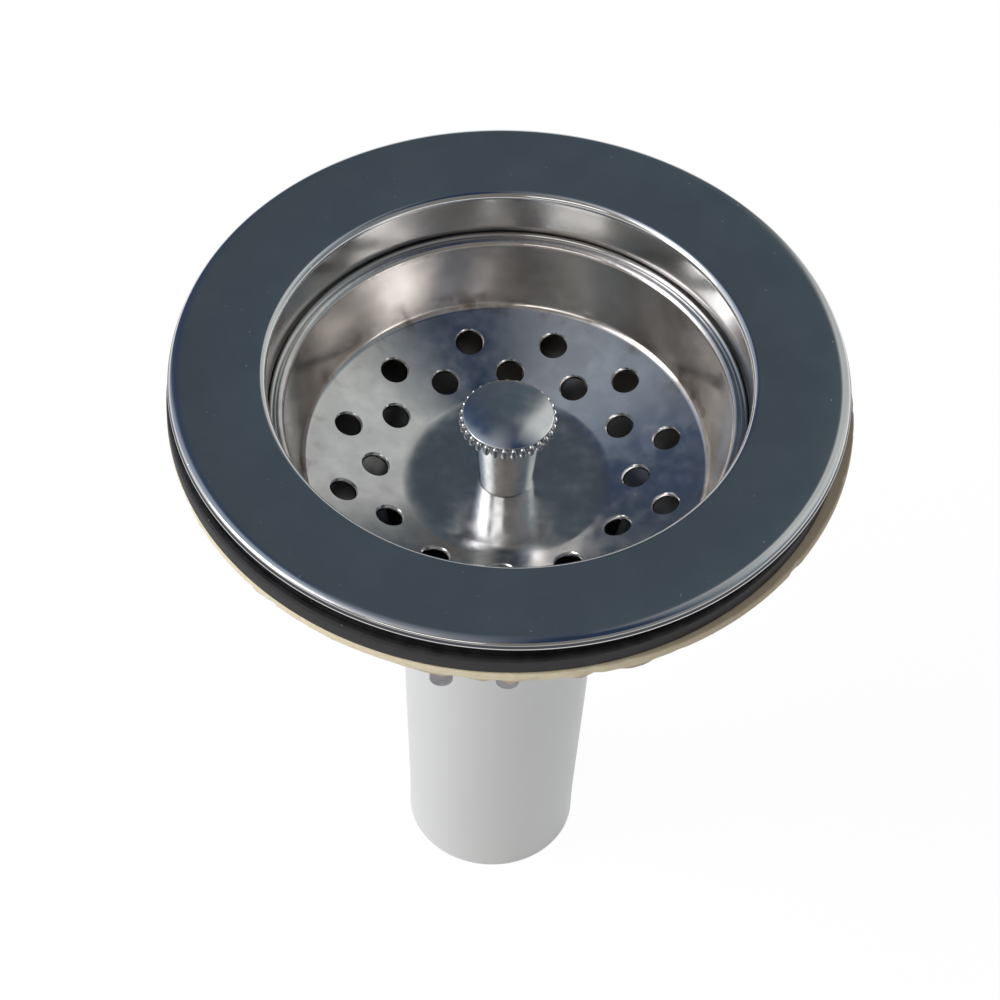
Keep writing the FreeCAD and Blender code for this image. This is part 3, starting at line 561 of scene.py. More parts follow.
cup = turn(draw_section([
    (stem_hole, disc_face),
    (disc_radius, disc_face, 1.6 * mm),
    (wall_foot_radius, wall_foot, 0.9 * mm),
    (wall_top_radius, basket_top, 0.9 * mm),
    (cup_rim, basket_top),
], closed=False), steps=288)
thicken(cup, cup_sheet)
rim_edges = [edge for edge in cup.edges
             if edge_span(edge, 2) < near
             and all(vertex.co.xy.length > cup_rim - near for vertex in edge.verts)]
round_edges(cup, rim_edges, 0.3 * mm, steps=4)
basket = make_piece("strainer_basket", cup, "basket_cup", basket_steel)

# %% [markdown]
# ## Cutters for the holes
# Two rows of twelve holes lie on the slope, and the outer row stands between the holes of the inner one.
# They are punched from above, which draws the steel down round each one, so the cutter is not a plain
# cylinder: it flares where it meets the surface. A cutter is turned upright on the axis, leaned with the
# slope and moved out to its row, and a spin copies it round.

# %% Make the cutters
hole_radius = 2.15 * mm
hole_flare = 0.6 * mm
flare_depth = 0.35 * mm
cutter_depth = 1.8 * mm
cutter_top = 0.25 * mm
holes_in_row = 12
row_radii = (22.2 * mm, 28.2 * mm)
row_turns = (0, tau / 2 / holes_in_row)
slope_lean = atan2(wall_foot - disc_face, wall_foot_radius - disc_radius)


def hole_cutters(row_radius, row_turn):
    """Flared cutters for a row of holes."""
    cutter = turn(draw_section([
        (0, -cutter_depth),
        (hole_radius, -cutter_depth),
        (hole_radius, -flare_depth, 0.3 * mm),
        (hole_radius + hole_flare, cutter_top),
        (0, cutter_top),
    ], closed=False), steps=40)
    row_height = disc_face + (row_radius - disc_radius) * tan(slope_lean)
    place = (Matrix.Rotation(row_turn, 4, "Z") @ Matrix.Translation((row_radius, 0, row_height))
             @ Matrix.Rotation(-slope_lean, 4, "Y"))
    bmesh.ops.transform(cutter, matrix=place, verts=cutter.verts[:])
    return copy_round(cutter, holes_in_row)


cutters = join(*[hole_cutters(radius, angle) for radius, angle in zip(row_radii, row_turns)])
cutter_mesh = bpy.data.meshes.new("hole_cutters")
cutters.to_mesh(cutter_mesh)
cutters.free()
cutter_object = bpy.data.objects.new("hole_cutters", cutter_mesh)
scene.collection.objects.link(cutter_object)
print("cutters for", holes_in_row * len(row_radii), "holes have", len(cutter_mesh.polygons), "faces")

# %% [markdown]
# ## Holes of the basket
# A Boolean modifier cuts all the holes in one go. They could be modelled face by face, but the slope's rings
# would have to bend round each of them. The modifier's result becomes the basket's mesh, and the cutters,
# which are only a tool, are deleted. The cut leaves long thin faces round each hole, and a Weighted Normal
# modifier keeps the shading even across them.

# %% Punch the holes
punch = basket.modifiers.new("punch", "BOOLEAN")
punch.operation = "DIFFERENCE"
punch.solver = "EXACT"
punch.object = cutter_object
punched = bpy.data.meshes.new_from_object(basket.evaluated_get(bpy.context.evaluated_depsgraph_get()))
basket.modifiers.clear()
basket.data = punched
punched.name = "strainer_basket"
punched.shade_smooth()
punched.set_sharp_from_angle(angle=crease)
bpy.data.objects.remove(cutter_object)
even = basket.modifiers.new("even_shading", "WEIGHTED_NORMAL")
even.keep_sharp = True
print("basket with holes has", len(punched.polygons), "faces")

# %% [markdown]
# ## Chrome of the knob
# The knob is small, smooth and plated, so it is the brightest mirror on the object. One even roughness would
# make it look new, so it gets a little haze from handling.

# %% Knob chrome
knob_chrome, tree, shader = new_finish("knob_chrome", (0.8, 0.805, 0.81), 1.0, 0.12)
handling = cloud(tree, 2.5 * mm, 4)
chrome_shades = shades(tree, handling, 0.35, 0.65, (0.76, 0.765, 0.77), (0.84, 0.845, 0.85))
dress(tree, shader, chrome_shades, spread(tree, handling, 0.3, 0.7, 0.08, 0.2))
relief(tree, shader, cloud(tree, 4 * mm, 2), 0.01 * mm, 0.5)
print(knob_chrome.name, "has", len(tree.nodes), "nodes")

# %% [markdown]
# ## Knob
# The knob stands in the middle of the basket: a neck that widens upwards and a head with a low dome. Small
# rounded teeth run round the head for grip. The body is one turned section that starts and ends on the axis.
# One tooth is a stretched sphere, copied round the head. Notches could be cut between the teeth instead, but
# spheres that are partly sunk give round teeth without a Boolean.

# %% Turn the knob and set its teeth
knob_foot = levels("knob")[0]
knob_reach = reach("knob")
neck_foot_radius = 4.65 * mm
neck_top_radius = 5.7 * mm
collar_radius = 6.0 * mm
head_bottom = knob_foot + 13.9 * mm
head_top = knob_foot + 16.2 * mm
head_core = knob_reach - 0.95 * mm
dome_radius = knob_reach - 0.7 * mm
dome_top = head_top + 1.2 * mm
knob = turn(draw_section([
    (0, knob_foot),
    (neck_foot_radius, knob_foot, 0.25 * mm),
    (neck_top_radius, head_bottom - 0.4 * mm, 0.3 * mm),
    (collar_radius, head_bottom, 0.2 * mm),
    (head_core, head_bottom, 0.3 * mm),
    (head_core, head_top - 0.25 * mm, 0.1 * mm),
    (dome_radius, head_top - 0.2 * mm, 0.1 * mm),
    (dome_radius, head_top + 0.05 * mm, 0.12 * mm),
    (0.5 * dome_radius, dome_top, 3.6 * mm),
    (0, dome_top),
], closed=False, steps=10), steps=192)

tooth_count = 31
tooth_radius = 0.62 * mm
tooth_stretch = 1.9
tooth_middle = (head_bottom + head_top) / 2 - 0.1 * mm
tooth = bmesh.new()
bmesh.ops.create_uvsphere(tooth, u_segments=12, v_segments=8, radius=tooth_radius)
bmesh.ops.scale(tooth, vec=(1, 1, tooth_stretch), verts=tooth.verts[:])
bmesh.ops.translate(tooth, vec=(knob_reach - tooth_radius, 0, tooth_middle), verts=tooth.verts[:])
make_piece("lifting_knob", join(knob, copy_round(tooth, tooth_count)), "knob", knob_chrome)

# %% [markdown]
# ## Black rubber
# The gaskets, the pipe's washer and the stopper are moulded in matt rubber. It reflects little. One plain
# dark colour would look like a black hole, so fine dust and moulding marks break it up.

# %% Rubber
black_rubber, tree, shader = new_finish("black_rubber", (0.045, 0.043, 0.047), 0.0, 0.6)
mottle = cloud(tree, 3 * mm, 6)
rubber_shades = shades(tree, mottle, 0.35, 0.75, (0.02, 0.019, 0.021), (0.045, 0.043, 0.046))
shader.inputs["Specular IOR Level"].default_value = 0.3
rubber_dust = specks(tree, 1.6 * mm, 0.14 * mm, 0.3)
rubber_shades = tint(tree, rubber_dust, rubber_shades, (0.2, 0.19, 0.18))
dress(tree, shader, rubber_shades, spread(tree, mottle, 0.3, 0.7, 0.48, 0.7))
relief(tree, shader, cloud(tree, 0.5 * mm, 4), 0.04 * mm, 0.5)
print(black_rubber.name, "has", len(tree.nodes), "nodes")

# %% [markdown]
# ## Gaskets
# The upper gasket lies between the flange and the sink, and the lower one presses against the sink from
# below. Both are flat rings with soft edges. A flattened torus would be quicker, but it has no flat faces and
# no thin lip, which the lower ring has round its top edge. That ring is a little smaller than its solid and
# loose on the bowl, and lies nearly a millimetre towards the front left, as the black band in the photograph
# does.

# %% Turn the gaskets
gasket_bore = 42.0 * mm


def flat_ring(node, bore, edge):
    """A turned ring between a node's levels, with rounded outer edges."""
    bottom, top = levels(node)
    return turn(draw_section([
        (bore, bottom, 0.5 * edge),
        (reach(node), bottom, edge),
        (reach(node), top, edge),
        (bore, top, 0.5 * edge),
    ]))


upper_ring = flat_ring("upper_gasket", gasket_bore, 0.7 * mm)
make_piece("upper_rubber_ring", upper_ring, "upper_gasket", black_rubber)

lower_bottom, lower_top = levels("lower_gasket")
lower_reach = reach("lower_gasket") - 0.7 * mm
loose_bore = gasket_bore + 1.0 * mm
below_lip = lower_top - 0.3 * mm
gasket_shift = (-0.7 * mm, -0.48 * mm, 0)
lower_ring = turn(draw_section([
    (loose_bore, lower_bottom, 0.3 * mm),
    (lower_reach, lower_bottom, 0.4 * mm),
    (lower_reach, below_lip, 0.15 * mm),
    (lower_reach - 0.4 * mm, lower_top, 0.15 * mm),
    (lower_reach - 1.3 * mm, lower_top, 0.2 * mm),
    (lower_reach - 1.5 * mm, below_lip, 0.2 * mm),
    (loose_bore, below_lip, 0.3 * mm),
]))
bmesh.ops.translate(lower_ring, vec=gasket_shift, verts=lower_ring.verts[:])
make_piece("lower_rubber_ring", lower_ring, "lower_gasket", black_rubber)

# %% [markdown]
# ## Cream fibre
# The washer under the gaskets is pressed fibre, like stiff card. It is pale, quite rough and flecked, with a
# few dirty patches. Its lower edge and its right side get a painted brown shade, and the place on the part
# says where those are.

# %% Fibre
cream_fibre, tree, shader = new_finish("cream_fibre", (0.80, 0.71, 0.54), 0.0, 0.85)
fibres = cloud(tree, 1.1 * mm, 8, (1, 1, 2.5))
patches = cloud(tree, 5 * mm, 3)
fibre_shades = shades(tree, fibres, 0.3, 0.7, (0.95, 0.8, 0.53), (0.99, 0.91, 0.7))
washer_bottom, washer_top = levels("fibre_washer")
# Painted shade: the lower edge and the right side are tinted brown. Only the random patches are dirt.
painted_shade_lower_edge = spread(tree, axis_place(tree, "Z"), washer_bottom + 0.35 * mm, washer_bottom - 0.1 * mm,
                      0, 0.6)
painted_shade_right_side = spread(tree, axis_place(tree, "X"), 10 * mm, 40 * mm, 0, 0.62)
for dirt_and_painted_shade in (spread(tree, patches, 0.62, 0.8, 0, 0.3), painted_shade_lower_edge, painted_shade_right_side):
    fibre_shades = tint(tree, dirt_and_painted_shade, fibre_shades, (0.4, 0.29, 0.21))
tree.links.new(fibre_shades, shader.inputs["Base Color"])
relief(tree, shader, fibres, 0.12 * mm, 0.5)
relief(tree, shader, cloud(tree, 0.35 * mm, 4), 0.04 * mm, 0.5)
print(cream_fibre.name, "has", len(tree.nodes), "nodes")

# %% [markdown]
# ## Fibre washer
# The washer is a flat ring under the rubber. An extra corner in its lower face lies just outside the nut, so
# what later hangs from the washer's edge starts clear of the nut. It is turned in small steps, because its
# edge needs points to be frayed with.

# %% Turn the washer
washer_reach = reach("fibre_washer") - 0.3 * mm
nut_reach = reach("lock_nut")
washer = turn(draw_section([
    (gasket_bore, washer_bottom, 0.2 * mm),
    (nut_reach + 0.4 * mm, washer_bottom),
    (washer_reach, washer_bottom, 0.5 * mm),
    (washer_reach, washer_top, 0.3 * mm),
    (gasket_bore, washer_top, 0.2 * mm),
]), steps=512)
print("washer has", len(washer.verts), "points")

# %% [markdown]
# ## Frayed edge of the washer
# The washer was cut roughly. Its edge wanders and has small nicks, and frayed lumps hang from its lower
# corner outside the nut. A Displace modifier could roughen the whole ring, but here only the edge may move.
# Each vertex near it is moved by noise that depends only on its place, so the result is the same on every
# run. The finished ring lies a little off centre, towards the back right.

# %% Fray the washer's edge
washer_shift = (0.3 * mm, 0.4 * mm, 0)
frayed_places = ((-9.5 * mm, 1.1 * mm), (-2.6 * mm, 0.8 * mm), (2.2 * mm, 1.0 * mm), (13.2 * mm, 0.9 * mm))
fray_width = 1.7 * mm
# How many waves of noise there are in a metre.
wander_waves = 60
nick_waves = 420
crumb_waves = 900
lump_waves = 260
for vertex in washer.verts:
    ring_radius = vertex.co.xy.length
    if ring_radius > washer_reach - 1.0 * mm:
        wander = 0.1 * mm * (1 + noise.noise(vertex.co * wander_waves))
        nick = 0.9 * mm * max(0, noise.noise(vertex.co * nick_waves) - 0.35)
        vertex.co.xy *= (ring_radius - wander - nick) / ring_radius
        if vertex.co.z < washer_bottom + 0.3 * mm:
            crumbs = 0.7 + 0.6 * noise.noise(vertex.co * crumb_waves)
            for across, sag in frayed_places:
                if vertex.co.y < 0:
                    vertex.co.z -= sag * crumbs * max(0, 1 - abs(vertex.co.x - across) / fray_width)
            vertex.co.z -= 2.2 * mm * max(0, noise.noise(vertex.co * lump_waves) - 0.3)
bmesh.ops.translate(washer, vec=washer_shift, verts=washer.verts[:])
make_piece("fibre_ring", washer, "fibre_washer", cream_fibre)

# %% [markdown]
# ## Grey die casting
# The lock nut is a zinc casting: dull grey in lighter and darker patches, with a fine sandy skin. As a full
# metal it would mirror too much of the room, so its metallic value stays below 1.

# %% Casting
die_casting, tree, shader = new_finish("die_casting", (0.34, 0.34, 0.35), 0.7, 0.55)
skin = cloud(tree, 0.8 * mm, 5)
patches = cloud(tree, 7 * mm, 3)
cast_shades = shades(tree, patches, 0.35, 0.7, (0.26, 0.26, 0.27), (0.38, 0.38, 0.39))
dress(tree, shader, cast_shades, spread(tree, skin, 0.3, 0.7, 0.45, 0.65))
relief(tree, shader, skin, 0.08 * mm, 0.6)
print(die_casting.name, "has", len(tree.nodes), "nodes")

# %% [markdown]
# ## Lock nut
# A wide flange presses the washer up, and a hub below it carries the thread. The thread's ridge stands
# inwards, so its foot has a larger radius than its top. A shallow recess widens the nut's bore at the top to
# that of the rings above it.

# %% Cast the lock nut
hub_radius = 47.5 * mm
nut_flange_bottom = nut_bottom + 5.0 * mm
nut_bore = 41.1 * mm
nut_ridge_radius = 40.0 * mm
nut_recess = nut_top - 1.9 * mm
lock_nut = turn(draw_section([
    (nut_bore, nut_bottom, 0.5 * mm),
    (hub_radius, nut_bottom, 0.8 * mm),
    (hub_radius, nut_flange_bottom, 0.7 * mm),
    (nut_reach, nut_flange_bottom, 0.6 * mm),
    (nut_reach, nut_top, 0.5 * mm),
    (gasket_bore, nut_top, 0.2 * mm),
    (gasket_bore, nut_recess),
    (nut_bore, nut_recess, 0.2 * mm),
]))
nut_thread = thread(foot=nut_bore + thread_sink, top=nut_ridge_radius, start=nut_bottom + thread_end,
                    widths=(1.75 * mm, 0.85 * mm), pitch=bowl_pitch, turns=1.64)
join(lock_nut, nut_thread)
print("lock nut has", len(lock_nut.faces), "faces before its lugs")

# %% [markdown]
# ## Lugs of the lock nut
# Pairs of lugs stand out at each quarter so that a spanner or a hammer can turn the nut. One lug is a block
# with rounded foot edges, and a spin copies it to the other quarters. An Array modifier could copy it too,
# but a spin keeps the copies in the nut's own mesh. The first pair stands a little left of the front, as the
# two lugs in the photograph do.

# %% Add the lugs
lug_width = 3.8 * mm
lug_foot = nut_flange_bottom - 4.3 * mm
lug_top = nut_flange_bottom + 1.0 * mm
lug_inside = 45.0 * mm
lug_outside = nut_reach - 0.3 * mm
lug_places = (-8.95 * mm, 1.75 * mm)
lug_pairs = 4


def block(size, middle):
    """A plain block about a middle."""
    shape = bmesh.new()
    bmesh.ops.create_cube(shape, size=1)
    bmesh.ops.scale(shape, vec=size, verts=shape.verts[:])
    bmesh.ops.translate(shape, vec=middle, verts=shape.verts[:])
    return shape


for across in lug_places:
    lug = block((lug_width, lug_outside - lug_inside, lug_top - lug_foot),
                (across, -(lug_outside + lug_inside) / 2, (lug_foot + lug_top) / 2))
    foot_edges = [edge for edge in lug.edges
                  if edge_span(edge, 1) > near
                  and all(vertex.co.z < lug_foot + near for vertex in edge.verts)]
    round_edges(lug, foot_edges, 1.85 * mm, steps=6)
    end_edges = [edge for edge in lug.edges if all(vertex.co.y < near - lug_outside for vertex in edge.verts)]
    round_edges(lug, end_edges, 0.35 * mm, steps=3)
    join(lock_nut, copy_round(lug, lug_pairs))
make_piece("cast_lock_nut", lock_nut, "lock_nut", die_casting)

# %% [markdown]
# ## White plastic
# The tailpiece and its nut are moulded in satin white plastic. It is nearly even in colour, with a soft
# sheen, very faint flow marks along the pipe and a fine grain. Subsurface scattering could let some light
# into it, but that renders slower, and this pipe looks opaque.

# %% Plastic
white_plastic, tree, shader = new_finish("white_plastic", (0.79, 0.79, 0.785), 0.0, 0.35)
flow = cloud(tree, 8 * mm, 3, (1, 1, 0.25))
plastic_shades = shades(tree, flow, 0.3, 0.7, (0.77, 0.77, 0.765), (0.8, 0.8, 0.795))
dress(tree, shader, plastic_shades, spread(tree, flow, 0.3, 0.7, 0.3, 0.42))
relief(tree, shader, cloud(tree, 0.6 * mm, 3), 0.01 * mm, 0.5)
print(white_plastic.name, "has", len(tree.nodes), "nodes")

# %% [markdown]
# ## Tailpiece
# The pipe has a short straight lead at its end, where a drain hose slides on, then widens a little and runs
# straight up to a flange. Both faces are drawn in one closed section, because the bore has a taper of its
# own.

# %% Turn the tailpiece and its washer
pipe_end, pipe_top = levels("tailpiece")
pipe_flange = reach("tailpiece")
flange_bottom = pipe_top - 2.0 * mm
taper_length = 36.0 * mm
lead_end = pipe_end + 5.0 * mm
bore_lead_end = pipe_end + 25.0 * mm
pipe_radius = 15.0 * mm
pipe_bore = 13.0 * mm
pipe_widening = 1.5 * mm
tail_washer_bore = 15.8 * mm
tailpiece = turn(draw_section([
    (pipe_bore, pipe_end, 0.4 * mm),
    (pipe_radius, pipe_end, 0.5 * mm),
    (pipe_radius, lead_end, 4.0 * mm),
    (pipe_radius + pipe_widening, lead_end + taper_length, 4.0 * mm),
    (pipe_radius + pipe_widening, flange_bottom, 0.3 * mm),
    (pipe_flange, flange_bottom, 0.4 * mm),
    (pipe_flange, pipe_top, 0.3 * mm),
    (pipe_bore + pipe_widening, pipe_top, 0.3 * mm),
    (pipe_bore + pipe_widening, bore_lead_end + taper_length, 4.0 * mm),
    (pipe_bore, bore_lead_end, 4.0 * mm),
]), steps=192)
make_piece("white_tailpiece", tailpiece, "tailpiece", white_plastic)
tail_ring = flat_ring("tail_washer", tail_washer_bore, 0.3 * mm)
make_piece("tail_rubber_ring", tail_ring, "tail_washer", black_rubber)

# %% [markdown]
# ## Coupling nut
# This nut hooks under the tailpiece's flange and pulls it up to the outlet. Sixteen ribs give the fingers a
# grip. A rib is a short upright cylinder with rounded ends, half sunk in the nut. Ribs could also be cut from
# a thicker ring, but adding them leaves the turned section plain.

# %% Turn the coupling nut and set its ribs
coupling_bottom, coupling_top = levels("coupling_nut")
rib_count = 16
rib_radius = 1.3 * mm
rib_height = coupling_top - coupling_bottom - 1.0 * mm
coupling_radius = reach("coupling_nut") - rib_radius
coupling_bore = 21.3 * mm
coupling_ridge_radius = 20.2 * mm
lip_bore = 16.9 * mm
lip_top = coupling_bottom + 2.0 * mm
spud_pitch = 2.3 * mm
coupling = turn(draw_section([
    (lip_bore, coupling_bottom, 0.4 * mm),
    (coupling_radius, coupling_bottom, 1.2 * mm),
    (coupling_radius, coupling_top, 0.8 * mm),
    (coupling_bore, coupling_top, 0.4 * mm),
    (coupling_bore, lip_top, 0.4 * mm),
    (lip_bore, lip_top, 0.3 * mm),
]), steps=192)
coupling_thread = thread(foot=coupling_bore + thread_sink, top=coupling_ridge_radius,
                         start=coupling_bottom + 3.45 * mm, widths=(1.55 * mm, 0.75 * mm),
                         pitch=spud_pitch, turns=2.8)

rib = bmesh.new()
bmesh.ops.create_cone(rib, cap_ends=True, segments=20, radius1=rib_radius, radius2=rib_radius,
                      depth=rib_height)
round_edges(rib, [edge for edge in rib.edges if edge_span(edge, 2) < near], 0.8 * mm, steps=4)
bmesh.ops.translate(rib, vec=(coupling_radius, 0, (coupling_bottom + coupling_top) / 2), verts=rib.verts[:])
join(coupling, coupling_thread, copy_round(rib, rib_count))
make_piece("ribbed_coupling_nut", coupling, "coupling_nut", white_plastic)

# %% [markdown]
# ## Plain steel
# The outlet, the stem and the small parts under the basket are machined or stamped and not polished. Fine
# rings from the lathe run round them: noise that is stretched along the surface and packed tightly along the
# height. An anisotropic shader could streak the light in the same way, but it shows no single groove.

# %% Machined steel
machined_steel, tree, shader = new_finish("machined_steel", (0.62, 0.63, 0.64), 1.0, 0.3)
lathe = cloud(tree, 2.0 * mm, 3, (0.15, 0.15, 8))
patches = cloud(tree, 4 * mm, 4)
machined_shades = shades(tree, patches, 0.35, 0.7, (0.55, 0.555, 0.56), (0.67, 0.675, 0.68))
dress(tree, shader, machined_shades, spread(tree, lathe, 0.3, 0.7, 0.22, 0.42))
relief(tree, shader, lathe, 0.02 * mm, 0.6)
print(machined_steel.name, "has", len(tree.nodes), "nodes")

# %% [markdown]
# ## Outlet spud
# The spud is the threaded outlet under the bowl, and the coupling nut screws on to it. A lip inside its
# lower end carries the crossbar. A pipe with a ring joined to it would do, but one closed section gives the
# lip and both walls at once.

# %% Turn the spud
spud_bottom, spud_top = levels("outlet_spud")
bar_bottom, bar_top = levels("outlet_crossbar")
spud_root = 19.9 * mm
spud_lip_bore = 15.8 * mm
spud = turn(draw_section([
    (spud_lip_bore, spud_bottom, 0.3 * mm),
    (spud_root, spud_bottom, 0.5 * mm),
    (spud_root, spud_top),
    (outlet_bore, spud_top),
    (outlet_bore, bar_bottom, 0.2 * mm),
    (spud_lip_bore, bar_bottom, 0.3 * mm),
]), steps=192)
spud_thread = thread(foot=spud_root - thread_sink, top=spud_root + thread_height,
                     start=spud_bottom + thread_end, widths=(1.25 * mm, 0.45 * mm),
                     pitch=spud_pitch, turns=2.39)
make_piece("threaded_outlet", join(spud, spud_thread), "outlet_spud", machined_steel)

# %% [markdown]
# ## Crossbar
# The crossbar is a wheel of four arms whose hub guides the basket's stem. Ring and hub are turned. An arm is
# a block that reaches from the hub into the ring, so no gap shows where they meet.

# %% Build the crossbar
hub_bore = 6.5 * mm
hub_reach = 9.0 * mm
bar_ring_bore = 15.95 * mm
arm_count = 4
arm_length = bar_ring_bore - hub_reach + 1.0 * mm
arm_width = 3.2 * mm
arm_height = 1.7 * mm


def bar_ring(bore, outside):
    """A ring of the crossbar."""
    return turn(draw_section([
        (bore, bar_bottom, 0.3 * mm),
        (outside, bar_bottom, 0.3 * mm),
        (outside, bar_top, 0.4 * mm),
        (bore, bar_top, 0.4 * mm),
    ]), steps=128)


arm = block((arm_length, arm_width, arm_height),
            ((bar_ring_bore + hub_reach) / 2, 0, (bar_bottom + bar_top) / 2))
round_edges(arm, [edge for edge in arm.edges if edge_span(edge, 0) > near], 0.4 * mm, steps=3)
crossbar = bar_ring(hub_bore, hub_reach)
join(crossbar, bar_ring(bar_ring_bore, reach("outlet_crossbar")), copy_round(arm, arm_count))
make_piece("four_arm_crossbar", crossbar, "outlet_crossbar", machined_steel)

# %% [markdown]
# ## Stopper under the basket
# The knob's stem passes down through the basket and holds a soft stopper with a turned-down lip. A plate, a
# split washer and a hexagon nut keep it there. The stem could start as a cylinder, but a section rounds its
# ends in the same step, so the stem, the stopper and the plate are all turned.

# %% Turn the stem, the stopper and its plate
stem_bottom, stem_top = levels("stem")
stem_radius = reach("stem")
stem = turn(draw_section([
    (0, stem_bottom),
    (stem_radius, stem_bottom, 0.5 * mm),
    (stem_radius, stem_top, 0.3 * mm),
    (0, stem_top),
], closed=False), steps=64)
make_piece("knob_stem", stem, "stem", machined_steel)

seal_bottom, seal_top = levels("stopper_seal")
seal_reach = reach("stopper_seal")
seal_middle = seal_bottom + 1.5 * mm
hollow_radius = 12.0 * mm
seal_crown_radius = 9.0 * mm
seal = turn(draw_section([
    (stem_hole, seal_middle),
    (hollow_radius, seal_middle, 0.8 * mm),
    (seal_reach - 1.7 * mm, seal_bottom, 0.3 * mm),
    (seal_reach, seal_bottom, 0.4 * mm),
    (seal_reach, seal_middle, 0.6 * mm),
    (seal_crown_radius, seal_top, 0.8 * mm),
    (stem_hole, seal_top),
]), steps=192)
make_piece("rubber_stopper", seal, "stopper_seal", black_rubber)

plate_bottom, plate_top = levels("backing_plate")
plate_reach = reach("backing_plate")
plate = turn(draw_section([
    (stem_hole, plate_bottom),
    (plate_reach, plate_bottom, 0.4 * mm),
    (plate_reach, plate_top, 0.2 * mm),
    (stem_hole, plate_top),
]), steps=128)
make_piece("stopper_plate", plate, "backing_plate", machined_steel)

# %% [markdown]
# ## Split washer
# The split washer is a turn that stops short of a full circle. Such a spin leaves two open ends, and
# holes_fill closes them.

# %% Make the split washer
spring_bottom, spring_top = levels("lock_washer")
spring_reach = 4.55 * mm
split = radians(14)
spring = draw_section([
    (stem_hole, spring_bottom, 0.1 * mm),
    (spring_reach, spring_bottom, 0.15 * mm),
    (spring_reach, spring_top, 0.15 * mm),
    (stem_hole, spring_top, 0.1 * mm),
])
bmesh.ops.rotate(spring, cent=(0, 0, 0), matrix=Matrix.Rotation(split, 3, "Z"), verts=spring.verts[:])
bmesh.ops.spin(spring, geom=spring.verts[:] + spring.edges[:], cent=(0, 0, 0), axis=(0, 0, 1),
               angle=tau - split, steps=60)
bmesh.ops.holes_fill(spring, edges=[edge for edge in spring.edges if edge.is_boundary])
bmesh.ops.recalc_face_normals(spring, faces=spring.faces[:])
make_piece("split_washer", spring, "lock_washer", machined_steel)

# %% [markdown]
# ## Hexagon nut
# The nut starts as a hexagon and a circle that are bridged into a ring, is raised to its height, and its
# outer edges are beveled. The hexagon's sides are cut so that both loops have as many points, which keeps
# the bridge even. A cylinder of six sides with a Boolean hole would do too, but its caps would be less tidy.

# %% Make the hexagon nut
hex_bottom, hex_top = levels("stem_nut")
hex_sides = 6
side_cuts = 3
inside_hexagon = 3.5 * mm
hexagon = bmesh.new()
bmesh.ops.create_circle(hexagon, segments=hex_sides, radius=reach("stem_nut"))
bmesh.ops.subdivide_edges(hexagon, edges=hexagon.edges[:], cuts=side_cuts)
bmesh.ops.create_circle(hexagon, segments=hex_sides * (1 + side_cuts), radius=stem_hole)
bmesh.ops.bridge_loops(hexagon, edges=hexagon.edges[:])
raised = bmesh.ops.extrude_face_region(hexagon, geom=hexagon.faces[:])["geom"]
bmesh.ops.translate(hexagon, vec=(0, 0, hex_top - hex_bottom),
                    verts=[item for item in raised if isinstance(item, bmesh.types.BMVert)])
bmesh.ops.translate(hexagon, vec=(0, 0, hex_bottom), verts=hexagon.verts[:])
bmesh.ops.recalc_face_normals(hexagon, faces=hexagon.faces[:])
outer_edges = [edge for edge in hexagon.edges
               if all(vertex.co.xy.length > inside_hexagon for vertex in edge.verts)
               and edge.calc_face_angle() > crease]
round_edges(hexagon, outer_edges, 0.3 * mm, steps=3)
make_piece("hexagon_nut", hexagon, "stem_nut", machined_steel)

# %% [markdown]
# ## Spring clip
# A bent strip at the stem's end clicks into the crossbar's hub and centres the basket. It is a wire path
# with rounded bends, pulled sideways into a ribbon and given the strip's thickness. A curve object could give
# the same strip, but it would have to be made a mesh afterwards.

# %% Bend the clip
clip_low, clip_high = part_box("detent_clip")
clip_gauge = 0.5 * mm
clip_tip = 3.2 * mm
clip_shoulder = 4.2 * mm
clip_middle = clip_low.z + 0.5 * (clip_high.z - clip_low.z)
clip = draw_section([
    (-clip_tip, clip_low.z),
    (-clip_high.x, clip_middle, 1.5 * mm),
    (-clip_shoulder, clip_high.z, 0.6 * mm),
    (clip_shoulder, clip_high.z, 0.6 * mm),
    (clip_high.x, clip_middle, 1.5 * mm),
    (clip_tip, clip_low.z),
], closed=False)
bmesh.ops.translate(clip, vec=(0, -clip_high.y, 0), verts=clip.verts[:])
ribbon = bmesh.ops.extrude_edge_only(clip, edges=clip.edges[:])["geom"]
bmesh.ops.translate(clip, vec=(0, 2 * clip_high.y, 0),
                    verts=[item for item in ribbon if isinstance(item, bmesh.types.BMVert)])
bmesh.ops.recalc_face_normals(clip, faces=clip.faces[:])
thicken(clip, clip_gauge)
make_piece("spring_clip", clip, "detent_clip", machined_steel)

# %% [markdown]
# ## Floor
# The fitting stands on a plain white floor. A wide disc is enough, and it lies a hair below the pipe's end,
# so that the two faces never share a plane.

# %% Lay the floor
floor_radius = 8
floor_gap = 0.05 * mm
floor_shape = bmesh.new()
bmesh.ops.create_circle(floor_shape, cap_ends=True, segments=96, radius=floor_radius)
bmesh.ops.translate(floor_shape, vec=(0, 0, -floor_gap), verts=floor_shape.verts[:])
floor_mesh = bpy.data.meshes.new("white_floor")
floor_shape.to_mesh(floor_mesh)
floor_shape.free()
floor = bpy.data.objects.new("white_floor", floor_mesh)
scene.collection.objects.link(floor)
print("floor is", 2 * floor_radius, "m across")

# %% [markdown]
# ## Paint of the floor
# To the camera and to mirrors the floor is mostly a white glow, so the background is white without more
# light on the object. A share of it stays an ordinary matt surface, and that share carries the shadow.

